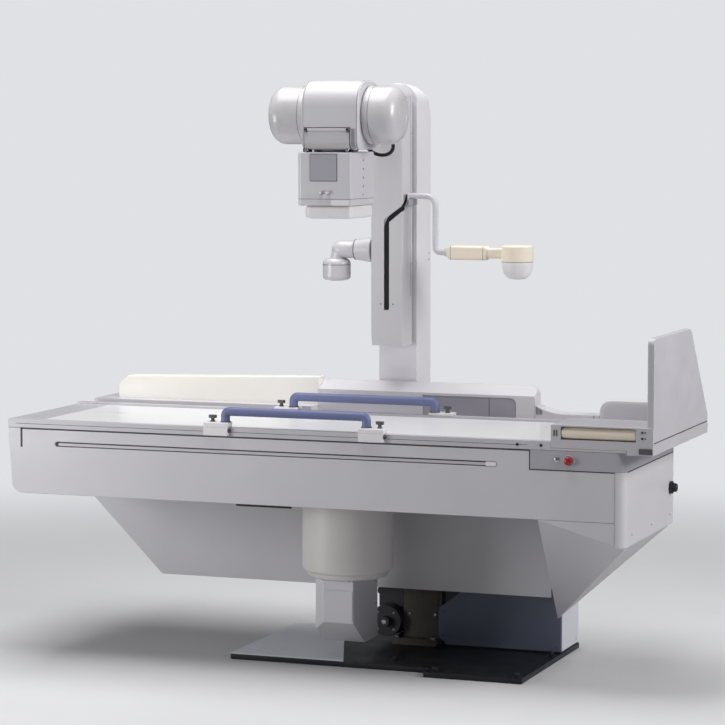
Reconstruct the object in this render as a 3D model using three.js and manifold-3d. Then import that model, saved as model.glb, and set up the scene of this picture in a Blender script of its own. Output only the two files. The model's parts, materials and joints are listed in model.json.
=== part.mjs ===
// Radiography and fluoroscopy table with an over-table X-ray tube on a column.
// Millimetres, +Z up. The origin is on the floor below the X-ray beam, on the tabletop's centre line;
// +X points to the foot end and +Y to the column side.
import * as THREE from 'three';
import { ConvexGeometry } from 'three/addons/geometries/ConvexGeometry.js';
import { mergeVertices } from 'three/addons/utils/BufferGeometryUtils.js';
import Module from 'manifold-3d';

const wasm = await Module();
wasm.setup();

// Clearances
const seat = 0.3;              // between pieces that touch
const slideGap = 1;            // beside a sliding piece
const moveGap = 5;             // between pieces that pass each other

// Floor base
const plateThick = 20;
const plateLeft = -420;
const plateRight = 708;
const plateFront = -112;
const plateRear = 610;
const plateStepX = 345;        // the front edge steps back to the left of this
const plateStep = 72;
const coverThick = 2.5;
const coverFootX = 20;         // where the cover's slanted edge meets the plate's front step
const coverSlant = 0.374;      // sideways run of that edge for each step to the rear

// Tilt axis, drive and stand
const pivotX = 568;
const pivotZ = 692;
const shaftRadius = 32;
const bushWall = 10;
const standLeft = 262;
const standRight = 706;
const standFront = 380;
const standDepth = 215;
const standBoxTop = 236;
const standWall = 8;
const postWidth = 116;
const panelThick = 7;
const navyLeft = 237;
const panelLowCut = 28;
const panelCutRun = 100;
const panelCutDrop = 77;
const gearModule = 8;
const sectorTeeth = 110;
const pinionTeeth = 12;
const gearWidth = 26;
const gearShift = 0.5;         // extra centre distance, for backlash
const pinionAngle = 216;       // degrees, from the tilt axis to the pinion
const sectorFrom = 205;        // degrees, both ends of the toothed arc
const sectorTo = 313;
const sectorHub = 62;
const sectorRim = 60;          // depth of the solid rim under the teeth
const sectorBoss = 132;        // radius of the solid part round the shaft
const sectorEnd = 12;          // degrees of solid arm at both ends of the sector
const hubOpening = 30;         // degrees between the last tooth and the round hub
const toothShare = 0.44;       // tooth thickness as a share of the pitch
const toothRise = 0.75;        // tooth height over the pitch circle, in modules
const toothDrop = 1.1;         // tooth depth under the pitch circle, in modules
const pressureAngle = 20;
const flangeRadius = 58;
const flangeThick = 12;
const pinionShaft = 16;
const gearboxWidth = 150;
const gearboxDepth = 130;
const gearboxHead = 46;        // housing height above the pinion's axis
const motorRadius = 58;
const motorLength = 150;
const motorFront = 30;         // how far the motor stands out before the gearbox
const motorNose = 22;
const motorNoseRadius = 20;
const motorPad = 60;
const gearboxFootLeft = 105;
const gearboxFootRight = 60;
const gearboxFootFront = 40;
const gearboxFootRear = 20;
const gearboxFootHeight = 24;

// Table body
const topZ = 875;              // tabletop surface
const frontY = -294;           // outer face of the front panel
const bodyTop = 844;
const bodyBottom = 607;
const headX = -1181;
const headSlant = 16;          // the head end leans in by this much going down
const cornerRadius = 40;
const panelWall = 8;
const endX = 1120;             // outer face of the foot end
const endRear = 367;
const endBottom = 522;
const endCorner = 35;
const endWall = 6;
const capLeft = 789;
const capBottom = 778;
const grooveLeft = -993;
const grooveRight = 673;
const grooveZ = 789;
const grooveHeight = 18;
const grooveDepth = 5;
const beamDepth = 43;
const beamHeight = 116;
const beamTop = 806;
const innerY = 236;            // inner face of both long beams, either side of the centre line
const beamLeft = -1090;
const beamRight = 1085;
const crossBeam = 48;
const bossRadius = 50;
const hangerHalf = 75;        // half width of the block under the rear beam that holds the boss
const hangerDrop = 60;         // from the tilt axis down to the block's lower face
const flangeRight = -1050;     // end of the head cover's floor flange
const skirtY = 280;
const skirtWall = 4;
const skirtBottom = 240;
const skirtLeft = -1160;
const skirtSlopeFoot = -837;   // lower end of the skirt's slanted edge
const skirtRight = 696;
const wedgeRearLeft = 716;
const wedgeLeft = 817;
const wedgeTipX = 716;
const wedgeTipZ = 161;
const wedgeRear = 299;
const wedgeWall = 7;
const overCut = 60;            // how far a hollow runs past an open side
const rearReturnGap = 20;      // between the deck and the foot end's rear wall

// Rear deck and covers
const deckLeft = -1160;
const deckRight = 1005;
const deckRear = 690;
const deckThick = 30;
const apronFront = 372;        // raised step of the deck in front of the left cover
const apronTop = 888;
const apronRear = 640;
const railWidth = 30;
const railHeight = 16;
const railInset = 20;
const coverFront = 452;
const coverRear = 515;
const coverTop = 992;
const coverTopLeft = 972;
const coverLeft = -1096;
const coverChamfer = 34;
const coverChamferRun = 41;
const hoodFront = 440;
const hoodLeft = -265;
const hoodRight = 582;
const hoodShoulder = 948;
const hoodTop = 980;
const hoodRound = 30;
const hoodFlat = 12;
const recessLeft = 150;
const recessRight = 510;
const recessTop = 938;
const recessDepth = 6;
const recessRound = 22;
const lowTop = 917;
const lowFloor = 888;
const lowSlope = 110;
const lowRight = 826;
const blockTop = 943;
const blockRound = 42;

// Column and tube carriage
const mastX = 22;
const mastWidth = 148;
const mastFront = 525;
const mastDepth = 158;
const mastTop = 2085;
const mastWall = 8;
const mastRound = 150;
const mastCorner = 72;
const footWidth = 260;
const footHeight = 110;
const footInset = 3;
const carriageX = 12;
const carriageFace = 60;       // half width of the carriage's front face
const carriageHalf = 69;
const carriageFront = 428;
const carriageChamfer = 50;
const carriageRear = 515;
const carriageBottom = 1118;
const carriageCrown = 68;      // from the tube's axis up to the carriage's top
const carriageWall = 7;
const slantRun = 12;           // the left side leans in below slantTop
const slantTop = 1290;
const cavityHalf = 46;
const runnerHalf = 40;
const runnerDepth = 40;
const runnerHeight = 80;
const runnerInset = 60;
const slotX = 12;
const slotWidth = 20;
const slotDepth = 4;
const slotBottom = 1250;
const slotBend = 1575;
const slotEndZ = 1626;

// Tube head and collimator
const tubeX = 0;               // middle of the tube housing
const tubeZ = 1967;
const tubeHalf = 106;          // half length of the middle housing
const tubeDepth = 122;         // half depth
const tubeHeight = 121;        // half height
const tubeRound = 92;
const tubeLowRound = 30;
const drumRadius = 103;
const drumLeft = 148;          // length of each end drum
const drumRight = 122;
const drumRound = 26;
const hubRadius = 47;
const hubLength = 38;
const armRadius = 48;
const armSink = 20;            // how far the arm runs into the carriage
const cableRadius = 9;
const cableSag = 145;          // from the tube's axis down to the cable's lowest point
const cableOut = 52;           // how far the cable stands out behind the housing
const cableAnchor = 36;        // where each end is held, either side of the housing's right edge
const lugHalf = 13;
const collX = -23;
const collWidth = 202;
const collDepth = 236;
const collHeight = 188;
const collChamfer = 10;
const ringHeight = 8;
const ringRadius = 80;
const windowHeight = 44;
const windowInset = 4;
const windowLeft = 24;
const knobRadius = 7;
const knobLength = 12;
const knobSpacing = 26;
const knobShift = 2;
const knobDrop = 142;          // from the collimator's top

// Compressor arm and observation head
const swingX = 104;
const swingY = 447;
const swingZ = 1672;
const pipeRadius = 11;
const pipeReach = 92;
const pipeDrop = 206;
const pipeBend = 38;
const gripLeft = 245;
const gripLength = 155;
const gripHeight = 54;
const gripDepth = 52;
const neckHeight = 38;
const coneRadius = 58;
const coneX = 512;
const coneDrop = 64;
const headHeight = 58;
const blockWidth = 26;
const blockFace = 10;          // right face of the block, from the swing axis
const blockArm = 32;
const blockInset = 4;
const blockHeight = 24;
const eyeZ = 1470;
const eyeRadius = 46;
const eyeLength = 72;
const eyeX = -192;
const eyeCanRadius = 52;
const eyeCanFall = 44;
const eyeCanHeight = 70;

// Image carriage below the tabletop
const imageHalfX = 260;
const imageBottom = 752;
const imageTop = 838;
const imageRunner = 30;
const drumX = 22;
const iiRadius = 163;
const iiBottom = 326;
const iiWall = 8;
const cameraLeft = -77;
const cameraRight = 84;
const cameraFront = -110;
const cameraRear = 142;
const cameraBottom = 85;
const cameraChamfer = 45;
const cameraSlopeRun = 120;    // the lower front slopes back by this much
const cameraSlopeTop = 172;

// Tabletop and what it carries
const panelThickTop = 24;
const panelLeft = -1048;
const panelRight = 858;
const railDepth = 32;
const rearRailY = 300;
const rearRailRise = 8;
const frameFoot = 1124;
const footLeft = 862;
const footRight = 1215;
const footBottom = 853;
const footTop = 931;
const footDepth = 234;
const footPost = 34;           // width of each end bracket of the roller frame
const rollerRadius = 21;
const rollerPin = 6;
const rollerPinReach = 14;
const footBarDepth = 774;
const footBarBottom = 838;
const footBarTop = 877;
const footBarWidth = 90;
const footCheek = 10;          // front cheek before the footrest
const footWall = 8;
const footSill = 29;           // wall under the roller
const footCrown = 5;           // wall above the roller
const restThick = 24;
const restTop = 1229;
const restTaper = 253;         // the rear edge leans in by this much
const restHeel = 30;           // upright part of the rear edge
const restCorner = 24;

// Handgrips
const gripBarRadius = 16;
const gripBarZ = 931;
const gripBend = 40;
const clampLength = 92;
const clampTop = 893;
const clampLip = 16;
const clampMargin = 4;
const clampKnobInset = 8;
const clampKnobRadius = 15;
const clampKnobHeight = 24;
const frontGripLeft = -332;
const frontGripRight = 196;
const rearGripLeft = -300;
const rearGripRight = 252;

// Buttons
const stopX = 926;
const stopZ = 811;
const stopRadius = 14;
const stopHeight = 26;
const stopTravel = 6;
const endKnobY = 318;
const endKnobZ = 655;
const endKnobRadius = 22;
const endKnobLength = 26;

// Values that follow from the sizes above
const sectorRadius = gearModule * sectorTeeth / 2;
const pinionRadius = gearModule * pinionTeeth / 2;
const gearFront = skirtY + skirtWall + 22;
const gearRear = gearFront + gearWidth;
const pinionReach = sectorRadius + pinionRadius + gearShift;
const pinionX = pivotX + pinionReach * Math.cos(THREE.MathUtils.degToRad(pinionAngle));
const pinionZ = pivotZ + pinionReach * Math.sin(THREE.MathUtils.degToRad(pinionAngle));
const standRear = standFront + standDepth;
const deckBottom = beamTop + seat;
const rearReturn = deckRight + rearReturnGap;
const deckTop = deckBottom + deckThick;
const railTop = deckTop + railHeight;
const footFloor = railTop + seat;
const mastBottom = footFloor + footHeight + seat;
const mastRear = mastFront + mastDepth;
const tubeBottom = tubeZ - tubeHeight;
const carriageTop = tubeZ + carriageCrown;
const collTop = tubeBottom - ringHeight - seat;
const collBottom = collTop - collHeight;
const frameBottom = bodyTop + seat;
const panelBottom = topZ - panelThickTop;
const restBottom = footBarTop + seat;

// Geometry helpers
function box(x0, x1, y0, y1, z0, z1) {
  const geometry = new THREE.BoxGeometry(x1 - x0, y1 - y0, z1 - z0);
  return geometry.translate((x0 + x1) / 2, (y0 + y1) / 2, (z0 + z1) / 2);
}

function shapeOf(points) {
  if (!Array.isArray(points)) return points;
  return new THREE.Shape(points.map(([a, b]) => new THREE.Vector2(a, b)));
}

function prismZ(points, z0, z1, segments = 6) {
  const options = { depth: z1 - z0, bevelEnabled: false, curveSegments: segments };
  return new THREE.ExtrudeGeometry(shapeOf(points), options).translate(0, 0, z0);
}

// Outline in X and Z, pushed along Y
function prismY(points, y0, y1, segments = 6) {
  return prismZ(points, 0, y1 - y0, segments).rotateX(Math.PI / 2).translate(0, y1, 0);
}

// Outline in Y and Z, pushed along X
function prismX(points, x0, x1, segments = 6) {
  const turn = new THREE.Matrix4().makeBasis(
    new THREE.Vector3(0, 1, 0), new THREE.Vector3(0, 0, 1), new THREE.Vector3(1, 0, 0));
  return prismZ(points, 0, x1 - x0, segments).applyMatrix4(turn).translate(x0, 0, 0);
}

// Rectangle with a radius for each corner: lower left, lower right, upper right, upper left
function rounded(a0, a1, b0, b1, [ll, lr, ur, ul]) {
  const shape = new THREE.Shape();
  shape.moveTo(a0 + ll, b0);
  shape.lineTo(a1 - lr, b0);
  if (lr > 0) shape.absarc(a1 - lr, b0 + lr, lr, -Math.PI / 2, 0);
  shape.lineTo(a1, b1 - ur);
  if (ur > 0) shape.absarc(a1 - ur, b1 - ur, ur, 0, Math.PI / 2);
  shape.lineTo(a0 + ul, b1);
  if (ul > 0) shape.absarc(a0 + ul, b1 - ul, ul, Math.PI / 2, Math.PI);
  shape.lineTo(a0, b0 + ll);
  if (ll > 0) shape.absarc(a0 + ll, b0 + ll, ll, Math.PI, Math.PI * 1.5);
  return shape;
}

function rodX(radius, x0, x1, y, z, sides = 24) {
  const geometry = new THREE.CylinderGeometry(radius, radius, x1 - x0, sides).rotateZ(Math.PI / 2);
  return geometry.translate((x0 + x1) / 2, y, z);
}

function rodY(radius, y0, y1, x, z, sides = 24) {
  return new THREE.CylinderGeometry(radius, radius, y1 - y0, sides).translate(x, (y0 + y1) / 2, z);
}

function rodZ(radius, z0, z1, x, y, sides = 24) {
  const geometry = new THREE.CylinderGeometry(radius, radius, z1 - z0, sides).rotateX(Math.PI / 2);
  return geometry.translate(x, y, (z0 + z1) / 2);
}

// Turned piece: pairs of radius and height, starting and ending on the axis, stood up along Z
function turned(profile, sides = 28) {
  const points = profile.map(([radius, height]) => new THREE.Vector2(radius, height));
  return new THREE.LatheGeometry(points, sides).rotateX(Math.PI / 2);
}

function tubeAlong(points, radius, steps, sides = 10) {
  const section = new THREE.Shape();
  section.absarc(0, 0, radius, 0, Math.PI * 2);
  const corners = points.map(([x, y, z]) => new THREE.Vector3(x, y, z));
  const curve = new THREE.CatmullRomCurve3(corners, false, 'centripetal');
  return new THREE.ExtrudeGeometry(section, { steps, extrudePath: curve, curveSegments: sides / 2 });
}

function hull(points) {
  return new ConvexGeometry(points.map(([x, y, z]) => new THREE.Vector3(x, y, z)));
}

// Joining and cutting
function toSolid(geometry) {
  const bare = new THREE.BufferGeometry();
  bare.setAttribute('position', geometry.getAttribute('position').clone());
  if (geometry.index) bare.setIndex(geometry.index.clone());
  const merged = mergeVertices(bare, 1e-3);
  return new wasm.Manifold(new wasm.Mesh({
    numProp: 3,
    vertProperties: new Float32Array(merged.getAttribute('position').array),
    triVerts: new Uint32Array(merged.index.array),
  }));
}

function toGeometry(solid) {
  const mesh = solid.getMesh();
  const geometry = new THREE.BufferGeometry();
  geometry.setAttribute('position', new THREE.BufferAttribute(mesh.vertProperties, 3));
  geometry.setIndex(new THREE.BufferAttribute(mesh.triVerts, 1));
  return geometry;
}

function cut(body, ...tools) {
  return toGeometry(tools.reduce((solid, tool) => solid.subtract(toSolid(tool)), toSolid(body)));
}

function join(...bodies) {
  return toGeometry(bodies.map(toSolid).reduce((solid, next) => solid.add(next)));
}

function common(first, second) {
  return toGeometry(toSolid(first).intersect(toSolid(second)));
}

// Materials
function paint(color, roughness, metalness = 0) {
  return new THREE.MeshStandardMaterial({ color, roughness, metalness });
}

const bodyPaint = paint(0xc6c5ca, 0.42);
const whitePaint = paint(0xe4e3e6, 0.4);
const creamPlastic = paint(0xeeebe0, 0.45);
const greyPanel = paint(0xaeadb3, 0.5);
const navyPaint = paint(0x2b2d42, 0.45);
const darkPlate = paint(0x14142a, 0.4);
const steel = paint(0x9a9ba0, 0.35, 0.9);
const castIron = paint(0x55565c, 0.6, 0.6);
const tabletopWhite = paint(0xf0f0f2, 0.3);
const gripBlue = paint(0x6f79b3, 0.45);
const beige = paint(0xd9d0bd, 0.5);
const blackPlastic = paint(0x17171a, 0.5);
const redPlastic = paint(0xb01418, 0.35);
const rubber = paint(0x1d1d20, 0.75);

const table = new THREE.Group();

function add(name, geometry, material) {
  const mesh = new THREE.Mesh(geometry, material);
  mesh.name = name;
  table.add(mesh);
}

// Floor base: the plate, its light cover, the stand and its front panel
function buildBase() {
  const stepFront = plateFront + plateStep;
  const plate = prismZ([
    [plateLeft, stepFront], [plateStepX, stepFront], [plateStepX, plateFront],
    [plateRight, plateFront], [plateRight, plateRear], [plateLeft, plateRear],
  ], 0, plateThick);
  add('base_plate', plate, darkPlate);

  const edgeRun = (plateRear - stepFront) * coverSlant;
  const sheet = prismZ([
    [plateLeft, stepFront], [coverFootX, stepFront],
    [coverFootX - edgeRun, plateRear], [plateLeft, plateRear],
  ], plateThick + seat, plateThick + seat + coverThick);
  add('floor_cover', sheet, whitePaint);

  const standBottom = plateThick + seat;
  const outline = new THREE.Shape();
  const halfPost = postWidth / 2;
  outline.moveTo(standLeft, standBottom);
  outline.lineTo(standRight, standBottom);
  outline.lineTo(standRight, standBoxTop);
  outline.lineTo(pivotX + halfPost, standBoxTop);
  outline.lineTo(pivotX + halfPost, pivotZ);
  outline.absarc(pivotX, pivotZ, halfPost, 0, Math.PI);
  outline.lineTo(pivotX - halfPost, standBoxTop);
  outline.lineTo(standLeft, standBoxTop);
  const post = prismY(outline, standFront, standRear, 10);
  const bearing = rodY(shaftRadius + bushWall + seat, standFront - 1, standRear + 1, pivotX, pivotZ);
  const hollow = box(standLeft + standWall, standRight - standWall, standFront + standWall,
    standRear - standWall, standBottom - 1, standBoxTop - standWall);
  add('tilt_stand', cut(post, bearing, hollow), whitePaint);

  const bush = rodY(shaftRadius + bushWall, standFront, standRear, pivotX, pivotZ);
  const bore = rodY(shaftRadius + seat, standFront - 1, standRear + 1, pivotX, pivotZ);
  add('pivot_bearing', cut(bush, bore), castIron);

  const panelFront = standFront - seat - panelThick;
  const low = standBottom + moveGap;
  const panel = prismY([
    [navyLeft + panelLowCut, low], [standRight, low], [standRight, standBoxTop],
    [navyLeft + panelCutRun, standBoxTop], [navyLeft, standBoxTop - panelCutDrop],
    [navyLeft, low + panelLowCut],
  ], panelFront, panelFront + panelThick);
  add('stand_front_panel', panel, navyPaint);
}

// Tooth flanks as involutes of the base circle, from the root to the tip
function toothedArc(teeth, from, count, centreX, centreZ) {
  const radius = gearModule * teeth / 2;
  const base = radius * Math.cos(THREE.MathUtils.degToRad(pressureAngle));
  const tip = radius + gearModule * toothRise;
  const root = radius - gearModule * toothDrop;
  const involute = (at) => Math.tan(Math.acos(base / at)) - Math.acos(base / at);
  const halfTooth = toothShare * gearModule * Math.PI / (2 * radius);
  const flank = [root, Math.max(base, root + 1), radius, tip].map((at) => {
    const beyondBase = Math.max(at, base);
    return [at, halfTooth + involute(radius) - involute(beyondBase)];
  });
  const points = [];
  for (let tooth = 0; tooth < count; tooth += 1) {
    const middle = from + tooth * 2 * Math.PI / teeth;
    flank.forEach(([at, half]) => points.push([at, middle - half]));
    [...flank].reverse().forEach(([at, half]) => points.push([at, middle + half]));
  }
  return points.map(([at, angle]) => [centreX + at * Math.cos(angle), centreZ + at * Math.sin(angle)]);
}

// Tilt drive: motor and gearbox on the base, pinion, toothed sector and shaft
function buildTiltDrive() {
  const floor = plateThick + seat;
  const boxFront = standFront;
  const boxRear = boxFront + gearboxDepth;
  const footTopZ = floor + gearboxFootHeight;
  const housing = join(
    prismY(rounded(pinionX - gearboxWidth / 2, pinionX + gearboxWidth / 2, floor, pinionZ + gearboxHead,
      [0, 0, gearboxHead, gearboxHead]), boxFront, boxRear, 5),
    box(pinionX - gearboxFootLeft, pinionX + gearboxFootRight, boxFront - gearboxFootFront,
      boxRear + gearboxFootRear, floor, footTopZ));
  const shaftHole = rodY(pinionShaft + seat, boxFront - 1, boxRear + 1, pinionX, pinionZ, 20);
  add('tilt_gearbox', cut(housing, shaftHole), castIron);

  const motorZ = footTopZ + motorRadius + seat;
  const motorX = pinionX - gearboxWidth / 2 - motorRadius - seat;
  const motorStart = boxFront - motorFront;
  const halfPad = motorPad / 2;
  const motor = join(
    rodY(motorRadius, motorStart, motorStart + motorLength, motorX, motorZ, 28),
    rodY(motorNoseRadius, motorStart - motorNose, motorStart + 1, motorX, motorZ, 16),
    box(motorX, motorX + motorRadius, boxFront, boxFront + motorPad, motorZ - halfPad, motorZ + halfPad));
  add('tilt_motor', motor, navyPaint);

  const turn = THREE.MathUtils.degToRad;
  const pinionStart = turn(pinionAngle + 180);
  const pinion = prismY(toothedArc(pinionTeeth, pinionStart, pinionTeeth, pinionX, pinionZ),
    gearFront, gearRear);
  const pinionRod = rodY(pinionShaft, gearRear - 1, boxRear, pinionX, pinionZ, 20);
  add('drive_pinion', join(pinion, pinionRod), steel);

  const pitch = 360 / sectorTeeth;
  const firstTooth = pinionAngle + pitch / 2 - Math.round((pinionAngle - sectorFrom) / pitch) * pitch;
  const count = Math.floor((sectorTo - firstTooth) / pitch) + 1;
  const lastTooth = firstTooth + (count - 1) * pitch;
  const rim = toothedArc(sectorTeeth, turn(firstTooth), count, pivotX, pivotZ);
  const hubOutline = [];
  const hubSteps = 14;
  const hubFrom = turn(lastTooth + hubOpening);
  const hubTo = turn(firstTooth + 360 - hubOpening);
  for (let step = 0; step <= hubSteps; step += 1) {
    const angle = hubFrom + (hubTo - hubFrom) * step / hubSteps;
    hubOutline.push([pivotX + sectorHub * Math.cos(angle), pivotZ + sectorHub * Math.sin(angle)]);
  }
  const window = new THREE.Shape();
  const windowFrom = turn(firstTooth + sectorEnd);
  const windowTo = turn(lastTooth - sectorEnd);
  window.absarc(pivotX, pivotZ, sectorRadius - sectorRim, windowFrom, windowTo, false);
  window.absarc(pivotX, pivotZ, sectorBoss, windowTo, windowFrom, true);
  const bore = rodY(shaftRadius + seat, gearFront - 1, gearRear + 1, pivotX, pivotZ);
  const sector = cut(prismY([...rim, ...hubOutline], gearFront, gearRear),
    prismY(window, gearFront - 1, gearRear + 1, 8), bore);
  add('sector_gear', sector, steel);

  const shaft = join(
    rodY(shaftRadius, gearFront, standRear, pivotX, pivotZ),
    rodY(flangeRadius, gearRear + seat, gearRear + flangeThick, pivotX, pivotZ));
  add('pivot_shaft', shaft, steel);
}

// Welded frame of the table body, with the tilt axis boss and two rails that carry the tabletop
function buildChassis() {
  const outerY = innerY + beamDepth;
  const outer = box(beamLeft, beamRight, -outerY, outerY, beamTop - beamHeight, beamTop);
  const inner = box(beamLeft + crossBeam, beamRight - crossBeam, -innerY, innerY,
    beamTop - beamHeight - 1, beamTop + 1);
  const boss = rodY(bossRadius, outerY - 1, gearFront - seat, pivotX, pivotZ);
  const hanger = box(pivotX - hangerHalf, pivotX + hangerHalf, innerY, outerY, pivotZ - hangerDrop,
    beamTop - beamHeight + 1);
  const railTopZ = frameBottom - seat;
  const headRail = box(beamLeft, beamLeft + crossBeam, -innerY, innerY, beamTop - 1, railTopZ);
  const footRail = box(beamRight - crossBeam, beamRight, -innerY, innerY, beamTop - 1, railTopZ);
  add('chassis', join(cut(outer, inner), hanger, boss, headRail, footRail), castIron);
}

// Outline of the head end, from the top down round the lower corner; `inset` moves it inwards
function headOutline(inset) {
  const lean = headSlant * (bodyTop - bodyBottom - cornerRadius) / (bodyTop - bodyBottom);
  const points = [[headX + inset, bodyTop], [headX + lean + inset, bodyBottom + cornerRadius]];
  const centre = [headX + lean + cornerRadius, bodyBottom + cornerRadius];
  const radius = cornerRadius - inset;
  for (let step = 1; step <= 6; step += 1) {
    const angle = Math.PI + Math.PI / 2 * step / 6;
    points.push([centre[0] + radius * Math.cos(angle), centre[1] + radius * Math.sin(angle)]);
  }
  return points;
}

// Covers of the table body
function buildBody() {
  const panelRightX = endX - endCorner - seat;
  const outline = [...headOutline(0), [panelRightX, bodyBottom], [panelRightX, capBottom - seat],
    [capLeft - seat, capBottom - seat], [capLeft - seat, bodyTop]];
  const groove = prismY(rounded(grooveLeft, grooveRight, grooveZ - grooveHeight / 2,
    grooveZ + grooveHeight / 2, Array(4).fill(grooveHeight / 2 - 0.01)), frontY - 1, frontY + grooveDepth, 4);
  add('front_panel', cut(prismY(outline, frontY, frontY + panelWall), groove), bodyPaint);

  const strip = [...headOutline(0), [flangeRight, bodyBottom], [flangeRight, bodyBottom + endWall],
    ...headOutline(endWall).reverse()];
  add('left_end_cover', prismY(strip, frontY + panelWall + seat, skirtY - seat), bodyPaint);

  const wrap = (thick, left, rearLeft) => {
    const shape = new THREE.Shape();
    const corner = endCorner;
    shape.moveTo(left, frontY);
    shape.lineTo(endX - corner, frontY);
    shape.absarc(endX - corner, frontY + corner, corner, -Math.PI / 2, 0);
    shape.lineTo(endX, endRear);
    shape.lineTo(rearLeft, endRear);
    shape.lineTo(rearLeft, endRear - thick);
    shape.lineTo(endX - thick, endRear - thick);
    shape.lineTo(endX - thick, frontY + corner);
    shape.absarc(endX - corner, frontY + corner, corner - thick, 0, -Math.PI / 2, true);
    shape.lineTo(left, frontY + thick);
    return shape;
  };
  const endShell = prismZ(wrap(endWall, endX - endCorner, rearReturn), endBottom, capBottom - seat);
  add('right_end_cover', endShell, bodyPaint);

  const capShell = prismZ(wrap(panelWall, capLeft, rearReturn), capBottom, bodyTop);
  const stopHole = rodY(stopRadius * 0.6 + slideGap, frontY - 1, frontY + panelWall + 1, stopX, stopZ, 20);
  add('control_cap', cut(capShell, stopHole), greyPanel);

  const top = bodyBottom - seat;
  const low = endBottom - seat;
  const shell = hull([
    [wedgeLeft, frontY, top], [endX, frontY, top], [endX, frontY, low], [endX, wedgeRear, low],
    [endX, wedgeRear, top], [wedgeRearLeft, wedgeRear, top], [wedgeTipX, wedgeRear, wedgeTipZ],
  ]);
  const wall = wedgeWall;
  const hollow = hull([
    [wedgeLeft + wall * 2, frontY + wall, top + overCut], [endX - wall, frontY + wall, top + overCut],
    [endX - wall, frontY + wall * 2, low + wall], [endX - wall, wedgeRear + overCut, low + wall],
    [endX - wall, wedgeRear + overCut, top + overCut],
    [wedgeRearLeft + wall * 2, wedgeRear + overCut, top + overCut],
    [wedgeTipX + wall, wedgeRear + overCut, wedgeTipZ + wall * 2.5],
  ]);
  const endRoom = box(endX - endCorner - seat, endX + 1, frontY - 1, endRear, low, top + 1);
  const skirtRoom = box(skirtLeft, skirtRight + seat, skirtY - seat, skirtY + skirtWall + seat,
    wedgeTipZ, bodyTop);
  add('wedge_cover', cut(shell, hollow, endRoom, skirtRoom), bodyPaint);

  const skirtTop = beamTop - seat;
  const skirtDiagonal = skirtBottom + skirtSlopeFoot - skirtLeft;
  const skirt = prismY([
    [skirtLeft, skirtTop], [skirtLeft, skirtDiagonal], [skirtSlopeFoot, skirtBottom],
    [skirtRight, skirtBottom], [skirtRight, skirtTop],
  ], skirtY, skirtY + skirtWall);
  const bossHole = rodY(bossRadius + seat, skirtY - 1, skirtY + skirtWall + 1, pivotX, pivotZ);
  add('rear_skirt', cut(skirt, bossHole), bodyPaint);
}

// Deck behind the tabletop with the column's rails, and the covers along it
function buildRearDeck() {
  const deckFront = innerY + 6;
  const railRear = deckRear - railInset - railWidth;
  const railFront = mastFront + railInset;
  const deck = join(
    box(deckLeft, deckRight, deckFront, deckRear, deckBottom, deckTop),
    box(deckLeft, hoodLeft, apronFront, coverFront - seat, deckTop - 1, apronTop),
    box(deckLeft, coverLeft - seat, apronFront, apronRear, deckTop - 1, apronTop),
    box(coverLeft, deckRight - railInset, railFront, railFront + railWidth, deckTop - 1, railTop),
    box(coverLeft, deckRight - railInset, railRear, railRear + railWidth, deckTop - 1, railTop));
  add('rear_deck', deck, greyPanel);

  const floor = deckTop + seat;
  const coverShape = prismY([
    [coverLeft, floor], [hoodLeft - seat, floor], [hoodLeft - seat, coverTop],
    [coverLeft + coverChamferRun, coverTopLeft], [coverLeft, coverTopLeft - coverChamfer],
  ], coverFront, coverRear);
  add('rear_cover_left', coverShape, creamPlastic);

  const profile = [[hoodFront, floor], [coverRear, floor], [coverRear, hoodTop],
    [coverRear - hoodFlat, hoodTop], [hoodFront, hoodShoulder]];
  const sideView = rounded(hoodLeft, hoodRight, floor, hoodTop + 1, [0, 0, hoodRound, 0]);
  const hood = common(prismX(profile, hoodLeft, hoodRight), prismY(sideView, hoodFront - 1, coverRear + 1));
  const recess = prismY(rounded(recessLeft, recessRight, floor - 1, recessTop, [0, 0, recessRound, 0]),
    hoodFront - 1, hoodFront + recessDepth);
  add('rear_hood', cut(hood, recess), whitePaint);

  const lowLeft = hoodRight + seat;
  const lowOutline = [[lowLeft, floor], [lowRight, floor], [lowRight, lowFloor]];
  const slopeSteps = 6;
  for (let step = 0; step <= slopeSteps; step += 1) {
    const share = step / slopeSteps;
    const rise = (lowTop - lowFloor) * share * share;
    lowOutline.push([lowLeft + lowSlope * (1 - share), lowFloor + rise]);
  }
  add('low_housing', prismY(lowOutline, hoodFront, coverRear), whitePaint);

  const blockLeft = lowRight + seat;
  add('end_block', prismY(rounded(blockLeft, deckRight, floor, blockTop, [0, 0, 0, blockRound]),
    hoodFront, coverRear), whitePaint);
}

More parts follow.
